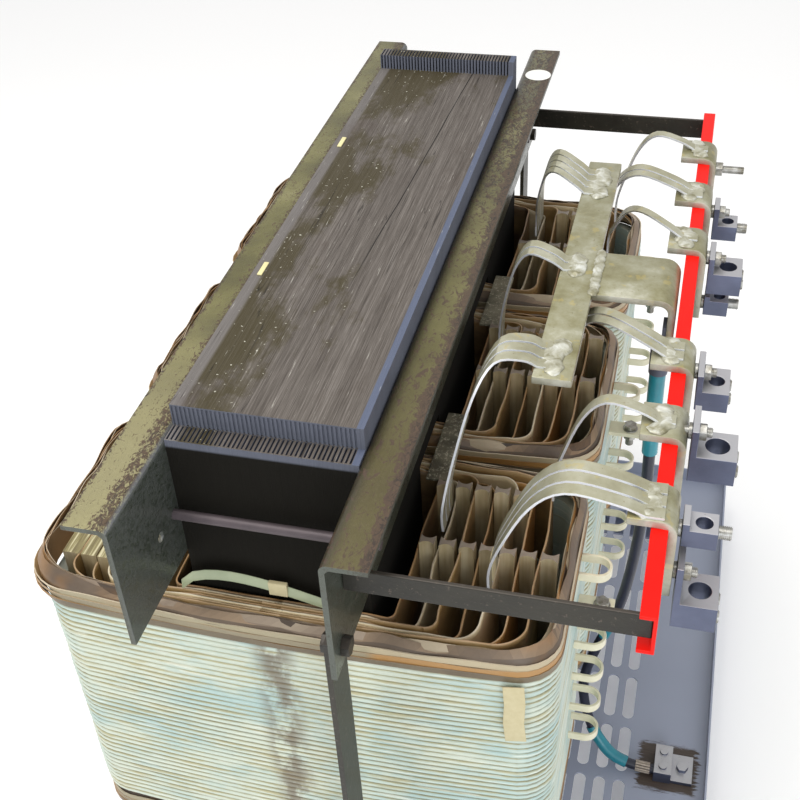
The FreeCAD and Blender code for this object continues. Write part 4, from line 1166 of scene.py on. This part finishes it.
# %% A grid of cuts through the sheets
PAPER_DEPTH = 0.14       # only the upper part of an inner sheet can be seen
WAVE_STEP = 0.024        # between one cut of the grid and the next
WAVE_CUTS = (0.008, 0.022, 0.045, 0.085)     # level cuts, down from the sheets' top


def cut_sheets(obj, low, high):
    """Bisect all sheets on a grid, so that they can wave."""
    open_mesh(obj)
    bpy.ops.mesh.bisect(plane_co=(0, 0, high.z - PAPER_DEPTH), plane_no=(0, 0, 1),
                        clear_inner=True)
    cuts = [((0, 0, high.z - depth), (0, 0, 1)) for depth in WAVE_CUTS]
    for axis in (0, 1):
        normal = tuple(float(i == axis) for i in range(3))
        steps = int((high[axis] - low[axis]) / WAVE_STEP)
        for k in range(1, steps):
            place = [0.0, 0.0, 0.0]
            place[axis] = low[axis] + k * WAVE_STEP
            cuts.append((tuple(place), normal))
    for place, normal in cuts:
        bpy.ops.mesh.select_all(action="SELECT")
        bpy.ops.mesh.bisect(plane_co=place, plane_no=normal)
    close_mesh()


print("sheets are cut every", WAVE_STEP)

# %% Inner papers
FLUSH_HALF = 0.105       # up to here from the core's middle line, neighbouring coils press
LOOSE_RUN = 0.035        # and this much further out the sheets are fully loose
# sheet by sheet, from low X on: how far its free edge hangs down, and its tone
SHEET_LOOKS = ((0.000, 0.30), (0.011, 0.42), (0.004, 0.95), (0.016, 0.22), (0.002, 0.36),
               (0.013, 0.85), (0.006, 0.12))


def inner_papers(coil):
    """Waves the sheets of one coil, each in its own way."""
    node = "layers_" + coil
    low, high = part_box(node)
    obj = copy_of_node(node)
    cut_sheets(obj, low, high)
    sheets = loose_parts(obj)
    for k, sheet in enumerate(sorted(sheets, key=lambda s: corners(s)[0].x)):
        drop, tone = SHEET_LOOKS[k % len(SHEET_LOOKS)]
        for vertex in sheet.data.vertices:
            place = vertex.co.copy()
            # Sheets wave where ducts part them, and lie flush between neighbouring coils.
            out = abs(place.x - CORE_MIDDLE_X)
            loose = min(1.0, max(0.05, (out - FLUSH_HALF) / LOOSE_RUN))
            share = loose * max(0.0, 1.0 - (high.z - place.z) / (PAPER_DEPTH * 0.6))
            wave = Vector((place.x * 13, place.y * 13, k * 4.0))
            vertex.co.x += 0.0050 * share * noise.noise(wave)
            vertex.co.y += 0.0022 * share * noise.noise(wave + Vector((0, 8, 0)))
            vertex.co.z += share * (0.0050 * noise.noise(wave * 1.6) - drop)
        set_attribute(sheet, "sheet", [tone] * len(sheet.data.vertices))
    settle(joined(sheets), node + "_waved", INNER_PAPER, "barrier_paper", node, smooth=50.0)


for coil in COILS:
    inner_papers(coil)

# %% [markdown]
# ## Taps and leads
# Taps are taped strips bent to a U, and leads are bare strips that leap from the coils to the
# rail and the neutral bar. The CAD strips lie where they should, so they are softened.

# %% Taps and leads
for coil in COILS:
    softened("taps_" + coil, 0.0011, TAP_CREAM, "turn_tape")
    softened("leads_" + coil, 0.0005, TINNED_STRIP, "tinned_bar")

# %% [markdown]
# ## Terminal pads and neutral bar
# A pad is flat bar laid over the rail and bent down its face, with a narrowed lower end. It is
# drawn as a line in the plane of the bend and extruded across. Solder lies where a lead ends.

# %% Pads
PAD_WALL = 0.009
PAD_BEND = 0.013
PAD_FLAT = 0.012         # a stretch on the rail before the bend
PAD_TAPER = 0.012        # the height over which the lower end narrows
PAD_NARROWS = 0.6        # how much each edge moves in, for each metre down


def terminal_pad(low, high):
    """A bent pad in the box of its CAD solid."""
    middle = (low.y + high.y) / 2
    width = high.y - low.y
    x = high.x - PAD_WALL / 2
    z = high.z - PAD_WALL / 2
    points = [Vector((low.x, middle, z)), Vector((low.x + PAD_FLAT, middle, z))]
    points += bend((x - PAD_BEND, middle, z - PAD_BEND), PAD_BEND, 90, 0, 6)
    points += [Vector((x, middle, low.z + 0.03)), Vector((x, middle, low.z))]
    pad = strip(points, (0, width, 0), PAD_WALL, 0.0010)
    for vertex in pad.data.vertices:
        below = low.z + PAD_TAPER - vertex.co.z
        if below > 0:
            side = 1 if vertex.co.y > middle else -1
            vertex.co.y -= side * below * PAD_NARROWS
    return pad


pads = solids_of("terminal_pads")
settle(joined([terminal_pad(low, high) for low, high in pads]),
       "terminal_pads_bent", TINNED_BAR, "tinned_bar", "terminal_pads")
print(len(pads), "pads")

# %% [markdown]
# The neutral bar is flat bar along all three coils. A second plate starts at its edge, folds
# over the rail's line and hangs down to carry the cable's lug. The box of the CAD node tells
# where both lie; their thickness and the fold's width are the plate sizes used in CAD.

# %% Neutral bar and its folded plate
BUS_SPAN = 0.045
BUS_WALL = 0.010
FOLD_WALL = 0.009
FOLD_BEND = 0.016
FOLD_WIDTH = 0.098
FOLD_MIDDLE = -0.022     # the middle of the folded plate, along the bar
FOLD_FLAT = 0.030        # a stretch of the plate before its bend
bus_low, bus_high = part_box("neutral_bus")
bus_bar = bar((bus_low.x, bus_low.y, bus_high.z - BUS_WALL),
              (bus_low.x + BUS_SPAN, bus_high.y, bus_high.z), 0.0014)
fold_x = bus_high.x - FOLD_WALL / 2
fold_z = bus_high.z - FOLD_WALL / 2 - 0.0005
fold_line = [Vector((bus_low.x + BUS_SPAN, FOLD_MIDDLE, fold_z)),
             Vector((bus_low.x + BUS_SPAN + FOLD_FLAT, FOLD_MIDDLE, fold_z))]
fold_line += bend((fold_x - FOLD_BEND, FOLD_MIDDLE, fold_z - FOLD_BEND), FOLD_BEND, 90, 0, 8)
fold_line.append(Vector((fold_x, FOLD_MIDDLE, bus_low.z)))
fold = strip(fold_line, (0, FOLD_WIDTH, 0), FOLD_WALL, 0.0014)
settle(joined([bus_bar, fold]), "neutral_bus_finished", TINNED_BAR, "tinned_bar", "neutral_bus")

# %% [markdown]
# Solder was poured by hand where a strip ends on a bar. Lumps are melted together: several
# uneven balls are joined, remeshed as one skin and smoothed, so that they sag into each other.

# %% Pools of solder on the pads
LUMP_GRAIN = 0.0015
PAD_LUMP = (0.011, 0.010, 0.0038)
PAD_LUMP_STEP = 0.011
BUS_LUMP = (0.013, 0.018, 0.0042)
SEAM_LUMP = (0.007, 0.010, 0.0034)
SEAM_LUMPS = 8
SEAM_STEP = 0.0125


def puddle(places, size, seed):
    """Lumps melted into one: joined, remeshed as one skin and smoothed."""
    lumps = [blob(place, size, seed + k) for k, place in enumerate(places)]
    pool = modify(joined(lumps), "REMESH", mode="VOXEL", voxel_size=LUMP_GRAIN)
    return modify(pool, "SMOOTH", factor=0.6, iterations=3)


rng = random.Random(21)
pools = []
for k, (low, high) in enumerate(pads):
    y = (low.y + high.y) / 2
    places = [(low.x + 0.022 + rng.uniform(-0.006, 0.006), y + PAD_LUMP_STEP * (j - 1.5),
               high.z + 0.0002) for j in range(4)]
    pools.append(puddle(places, PAD_LUMP, 10 * k))
print(len(pools), "pools on pads")


# %% Pools of solder on the neutral bar and along its seam
def landings_on_bus(coil):
    """Where a coil's leads lie on the neutral bar."""
    found = []
    for part in loose_parts(copy_of_node("leads_" + coil)):
        landed = [vertex.co.y for vertex in part.data.vertices if vertex.co.z > bus_high.z - 0.001
                  and vertex.co.x > bus_low.x + 0.010]
        if corners(part)[1].x < bus_low.x + BUS_SPAN:
            found.append(sum(landed) / len(landed))
        bpy.data.objects.remove(part)
    return sorted(found)


for k, coil in enumerate(COILS):
    places = [(bus_low.x + 0.021 + rng.uniform(-0.005, 0.005), y, bus_high.z + 0.0002)
              for y in landings_on_bus(coil)]
    pools.append(puddle(places, BUS_LUMP, 60 + 3 * k))
seam = [(bus_low.x + BUS_SPAN + 0.001, FOLD_MIDDLE - 0.044 + SEAM_STEP * k, bus_high.z - 0.0004)
        for k in range(SEAM_LUMPS)]
pools.append(puddle(seam, SEAM_LUMP, 80))
settle(joined(pools), "solder_lumps", SOLDER, "tinned_bar", smooth=60.0)
print(len(pools), "pools of solder")

# %% [markdown]
# ## Connectors
# The lugs are drilled aluminium blocks with a tang. Their screws are threaded: a thread here is
# a rod extruded in half pitches, wide and narrow in turn, which reads as a thread at this size.

# %% A threaded stud
THREAD_PITCH = 0.0018
THREAD_ROOT = 0.86       # the thread's root, as a share of its crest
THREAD_START = 0.001     # the plain disc that a thread grows from


def threaded_stud(radius, length):
    """A stud along +X from the origin."""
    clear_selection()
    bpy.ops.mesh.primitive_cylinder_add(vertices=20, radius=radius * THREAD_ROOT,
                                        depth=THREAD_START, location=(0, 0, THREAD_START / 2))
    obj = bpy.context.object
    bpy.ops.object.transform_apply(location=True, rotation=True, scale=True)
    for face in obj.data.polygons:
        face.select = face.normal.z > 0.9
    bpy.ops.object.mode_set(mode="EDIT")
    bpy.ops.mesh.select_mode(type="FACE")
    turns = int((length - THREAD_START) / THREAD_PITCH)
    for k in range(turns * 2):
        bpy.ops.mesh.extrude_region_move(
            TRANSFORM_OT_translate={"value": (0, 0, THREAD_PITCH / 2)})
        grow = 1 / THREAD_ROOT if k % 2 == 0 else THREAD_ROOT
        bpy.ops.transform.resize(value=(grow, grow, 1))
    bpy.ops.mesh.select_mode(type="VERT")
    bpy.ops.object.mode_set(mode="OBJECT")
    obj.rotation_euler = (0, math.radians(90), 0)
    only(obj)
    bpy.ops.object.transform_apply(location=True, rotation=True, scale=True)
    return obj


print("thread pitch", THREAD_PITCH)

# %% Connector blocks, lugs and studs
STUD_RADIUS = 0.0056
STUD_LENGTH = 0.030
STUD_LEAST = 0.012       # screws shorter than this are nuts and washers
softened("connector_lugs", 0.0009, LUG_ALUMINIUM, "lug_aluminium")
softened("terminal_screws", 0.0006, ZINC_STEEL, "zinc_steel")
softened("ground_lug", SAWN_EDGE, LUG_ALUMINIUM, "lug_aluminium")
softened("cable_lug", SAWN_EDGE, BARREL_GREY, "lug_aluminium")
stud_master = threaded_stud(STUD_RADIUS, STUD_LENGTH)
stud_boxes = [b for b in solids_of("terminal_screws") if b[1].x - b[0].x > STUD_LEAST]
studs = []
for low, high in stud_boxes:
    studs.append(copy_of(stud_master, (high.x - STUD_LENGTH, (low.y + high.y) / 2,
                                       (low.z + high.z) / 2)))
settle(joined(studs), "stud_threads", ZINC_STEEL, "zinc_steel", smooth=CRISP)
print(len(studs), "studs")

# %% [markdown]
# Each block clamps its wire with socket set screws. A plug is a thread with an inset, pushed-in
# face. Wide blocks hold two plugs nearly flush; narrow ones hold one that stands well out.

# %% Set screws in the connector blocks
SET_SCREW_RADIUS = 0.0072
SOCKET_WALL = SET_SCREW_RADIUS * 0.45
SOCKET_DEPTH = 0.005
FLUSH_LENGTH = 0.0085
LONG_LENGTH = 0.0200
WIDE_BLOCK = 0.040
SCREW_BITE = 0.0055      # how deep a plug sits in its block
SCREW_HEIGHT = 0.012     # above a block's foot


def set_screw(length):
    """A threaded plug along +X with a socket in its face, from the origin."""
    plug = threaded_stud(SET_SCREW_RADIUS, length)
    front = corners(plug)[1].x - MERGE_DISTANCE * 10
    for face in plug.data.polygons:
        face.select = face.normal.x > 0.9 and face.center.x > front
    for vertex in plug.data.vertices:
        vertex.select = vertex.co.x > front
    bpy.ops.object.mode_set(mode="EDIT")
    bpy.ops.mesh.select_mode(type="FACE")
    bpy.ops.mesh.inset(thickness=SOCKET_WALL)
    bpy.ops.mesh.extrude_region_move(TRANSFORM_OT_translate={"value": (-SOCKET_DEPTH, 0, 0)})
    bpy.ops.mesh.select_mode(type="VERT")
    bpy.ops.object.mode_set(mode="OBJECT")
    return plug


flush_plug = set_screw(FLUSH_LENGTH)
long_plug = set_screw(LONG_LENGTH)
screws = []
for low, high in solids_of("connector_lugs"):
    middle = (low + high) / 2
    wide = high.y - low.y > WIDE_BLOCK
    plug = flush_plug if wide else long_plug
    for spot in (-0.25, 0.25) if wide else (0.0,):
        screws.append(copy_of(plug, (high.x - SCREW_BITE, middle.y + spot * (high.y - low.y),
                                     low.z + SCREW_HEIGHT)))
bpy.data.objects.remove(flush_plug)
bpy.data.objects.remove(long_plug)
settle(joined(screws), "set_screws", ZINC_STEEL, "zinc_steel", smooth=CRISP)
print(len(screws), "set screws")

# %% [markdown]
# Every coil has one bare tap tab with a bolt through it: hexagon head, washers, nut and a
# threaded end that hangs below. Cylinders with six sides make the hexagons.

# %% Bolts on the tap tabs
TAB_HOLE_INSET = 0.015
WASHER = 0.0016
HEAD = 0.0066
NUT = 0.0080
BOLT_HANGS = 0.022       # how far the threaded end reaches below the tab


def tap_bolt(place, wall):
    """Hexagon head over a washer, the threaded end and a nut below."""
    pieces = []
    for radius, sides, low, high in ((0.0105, 32, wall, wall + WASHER),
                                     (0.0092, 6, wall + WASHER, wall + WASHER + HEAD),
                                     (0.0105, 32, -WASHER, 0.0),
                                     (0.0092, 6, -WASHER - NUT, -WASHER)):
        clear_selection()
        bpy.ops.mesh.primitive_cylinder_add(vertices=sides, radius=radius, depth=high - low,
                                            location=(0, 0, (low + high) / 2))
        part = bpy.context.object
        bpy.ops.object.transform_apply(location=True, rotation=True, scale=True)
        pieces.append(modify(part, "BEVEL", width=0.0006, segments=2, limit_method="ANGLE"))
    pieces.append(copy_of(stud_master, (0, 0, -BOLT_HANGS), (0, math.radians(-90), 0)))
    bolt = joined(pieces)
    bolt.location = place
    return bolt


bolts = []
for coil in COILS:
    low, high = min(solids_of("taps_" + coil), key=lambda b: b[1].z - b[0].z)
    bolts.append(tap_bolt((high.x - TAB_HOLE_INSET, (low.y + high.y) / 2, low.z),
                          high.z - low.z))
bpy.data.objects.remove(stud_master)
settle(joined(bolts), "tap_bolts", ZINC_STEEL, "zinc_steel", smooth=CRISP)
print(len(bolts), "tap bolts")

# %% [markdown]
# ## Cable dressing
# The cord itself is the curve made at the start. Teal tape sleeves sit on it at both ends and
# once between, made as tubes through the points of the same line. Where the rubber is stripped
# off before the ground connector, a ring of thin tubes beside that line shows the bare strands.

# %% Sleeves on the cable
# first and last point of a sleeve, as shares of the cable's line, and its radius
SLEEVES = ((0.0, 0.10, 0.0105), (0.40, 0.47, 0.0090), (0.80, 0.955, 0.0098))


def tube_along(points, radius):
    """A round tube through points, as a mesh."""
    only(spline_curve("tube", points, radius))
    bpy.ops.object.convert(target="MESH")
    return bpy.context.object


def sleeve(first, last, radius):
    """A sleeve on the cable's line."""
    a = int(first * (len(cable_line) - 1))
    b = int(last * (len(cable_line) - 1))
    return tube_along(cable_line[a:b + 1:2], radius)


cable.data.materials.append(CABLE_BLACK)
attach(cable, "root")
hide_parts("bonding_cable")
sleeves = [sleeve(*span) for span in SLEEVES]
settle(joined(sleeves), "cable_sleeves", SLEEVE_TEAL, "cable_black")

# %% Bare strands, and what the cord is
STRANDS = 11
STRAND_RADIUS = 0.0021
STRAND_RING = CABLE_RADIUS - 0.0004      # the strands' middles lie on this circle
BARE_END = 0.030                         # the rubber is stripped off this far from the connector
bare_line = [p for p in cable_line if p.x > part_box("ground_lug")[0].x - BARE_END]
strands = []
for k in range(STRANDS):
    a = 2 * math.pi * k / STRANDS
    beside = Vector((0, math.cos(a), math.sin(a))) * STRAND_RING
    strands.append(tube_along([p + beside for p in bare_line[::2]], STRAND_RADIUS))
settle(joined(strands), "bare_strands", COPPER_BARE, "cable_black")

# %% [markdown]
# ## Small things
# A blank round label sits on the far end of the right clamp, and two cream tags on the top
# yoke's left edge, where the left clamp ends.

# %% Label and tags
LABEL_RADIUS = 0.020
LABEL_IN = 0.028                     # from the clamp's bend
LABEL_FROM_END = 0.100
TAG_SHARES = (-0.36, 0.38)           # of the top yoke's half length, from its middle
TAG_HALF = 0.014
TAG_IN = 0.008                       # from the yoke's edge
TAG_WIDTH = 0.006
LAP_RISE = 0.022                     # the far lap stands this far above the yoke's top
YOKE_TOP_Z = CORE_TOP_Z - LAP_RISE
clamp_low, clamp_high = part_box("top_clamp_right")
clear_selection()
bpy.ops.mesh.primitive_cylinder_add(vertices=48, radius=LABEL_RADIUS, depth=0.0006,
                                    location=(clamp_low.x + LABEL_IN,
                                              clamp_high.y - LABEL_FROM_END,
                                              clamp_high.z + 0.0005))
settle(modify(bpy.context.object, "BEVEL", width=0.0002, segments=2, limit_method="ANGLE"),
       "blank_label", LABEL_WHITE, "clamp_varnish")
yoke_low, yoke_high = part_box("top_yoke")
tag_x = yoke_low.x + TAG_IN
tags = [bar((tag_x, share * yoke_high.y - TAG_HALF, YOKE_TOP_Z + 0.0002),
            (tag_x + TAG_WIDTH, share * yoke_high.y + TAG_HALF, YOKE_TOP_Z + 0.0020), 0.0005)
        for share in TAG_SHARES]
settle(joined(tags), "cream_tags", TAG_CREAM, "clamp_varnish")

# %% [markdown]
# Tan tape holds the near coil's last turns and is wound round two leads. A wrap is the lead's
# own stretch between two heights, bisected off and grown outward, so it hugs the strip.

# %% Tape on the near coil and wraps on two leads
near_low, near_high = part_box("winding_near")
PATCH_X = near_high.x - 0.0435
PATCH_ACROSS = (0.023, 0.004, 0)
WRAP_WALL = 0.0011


def wrap(node, index, low_z, high_z):
    """Tape wound round a lead: the lead's own stretch between two heights, grown outward."""
    parts = sorted(loose_parts(copy_of_node(node)), key=lambda o: corners(o)[0].y)
    chosen = parts.pop(index)
    for part in parts:
        bpy.data.objects.remove(part)
    open_mesh(chosen)
    for height, up in ((low_z, -1), (high_z, 1)):
        bpy.ops.mesh.select_all(action="SELECT")
        bpy.ops.mesh.bisect(plane_co=(0, 0, height), plane_no=(0, 0, up), clear_outer=True,
                            use_fill=True)
    close_mesh()
    return modify(chosen, "DISPLACE", strength=WRAP_WALL, mid_level=0.0)


patch = strip([Vector((PATCH_X, near_low.y + 0.0003, near_high.z - 0.001)),
               Vector((PATCH_X + 0.002, near_low.y - 0.0002, near_high.z - 0.030)),
               Vector((PATCH_X + 0.001, near_low.y, near_high.z - 0.062)),
               Vector((PATCH_X + 0.004, near_low.y + 0.0004, near_high.z - 0.094))],
              PATCH_ACROSS, 0.0012, 0.0004)
wraps = [wrap("leads_middle", 0, COIL_TOP_Z + 0.006, COIL_TOP_Z + 0.060),
         wrap("leads_near", 1, COIL_TOP_Z + 0.004, COIL_TOP_Z + 0.040)]
settle(joined([patch] + wraps), "tan_tape", TAPE_TAN, "turn_tape")

# %% [markdown]
# A thin green strip of laminate has sprung up before the near limb. It is a flat bar on edge,
# bent along a low arch that is highest near its left third, with a bit of tape holding it.

# %% Green strip before the near limb
limb_low, limb_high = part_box("limb_near")
STRIP_OUT = 0.012        # before the limb's face
STRIP_TALL = 0.013
ARCH_STEPS = 12
TAPE_SHARE = 0.62        # where the bit of tape holds it


def arch_point(share):
    """A point of the strip's middle line, 0 at its left end and 1 at its right end."""
    rise = 0.006 + 0.026 * math.sin(math.pi * share ** 0.62)
    return Vector((limb_low.x - 0.010 + share * (limb_high.x - limb_low.x - 0.020),
                   limb_low.y - STRIP_OUT, COIL_TOP_Z + rise))


arch = [arch_point(k / ARCH_STEPS) for k in range(ARCH_STEPS + 1)]
settle(strip(arch, (0, 0.0025, STRIP_TALL), 0.0010, 0.0003), "green_strip", STRIP_GREEN,
       "turn_tape")
held = arch_point(TAPE_SHARE)
settle(bar(held - Vector((0.011, 0.0026, STRIP_TALL * 0.75)),
           held + Vector((0.011, 0.0030, STRIP_TALL * 0.70)), 0.0010),
       "strip_tape", TAPE_TAN, "turn_tape")
print("green strip", round(arch[-1].x - arch[0].x, 3), "metres long")

# %% [markdown]
# ## Light and floor
# The floor is plain and pale and the sky white, so shadows stay light. A large warm lamp
# overhead shapes the coils, and a weaker, cooler one before them keeps their faces clear.

# %% Studio
def soft_lamp(name, place, aim, size, watts, colour):
    """A square lamp at a place, turned towards its aim."""
    data = bpy.data.lights.new(name, "AREA")
    data.shape = "SQUARE"
    data.size = size
    data.energy = watts
    data.color = colour
    lamp = bpy.data.objects.new(name, data)
    bpy.context.scene.collection.objects.link(lamp)
    lamp.location = place
    lamp.rotation_euler = (Vector(aim) - Vector(place)).to_track_quat("-Z", "Y").to_euler()


def studio():
    world = bpy.data.worlds.new("sky")
    world.use_nodes = True
    world.node_tree.nodes["Background"].inputs["Color"].default_value = (1.0, 1.0, 1.0, 1.0)
    world.node_tree.nodes["Background"].inputs["Strength"].default_value = 0.75
    bpy.context.scene.world = world
    bpy.context.scene.view_settings.view_transform = "Standard"
    clear_selection()
    bpy.ops.mesh.primitive_plane_add(size=30.0)
    floor = bpy.context.object
    floor.name = "floor"
    f = Finish("floor_pale")
    f.shader.inputs["Emission Color"].default_value = (1.0, 1.0, 1.0, 1.0)
    f.shader.inputs["Emission Strength"].default_value = 0.10
    cloud = f.noise(0.8)
    floor.data.materials.append(
        f.done(f.mix((0.97, 0.97, 0.97), (0.99, 0.99, 0.99), cloud), 0.9))
    soft_lamp("overhead", (-0.8, -0.6, 3.4), (0, 0, 0.6), 2.4, 70.0, (1.0, 0.97, 0.92))
    soft_lamp("front", (1.3, -3.0, 1.6), (0, 0, 0.7), 1.6, 28.0, (0.90, 0.95, 1.0))


studio()
print("studio lit")
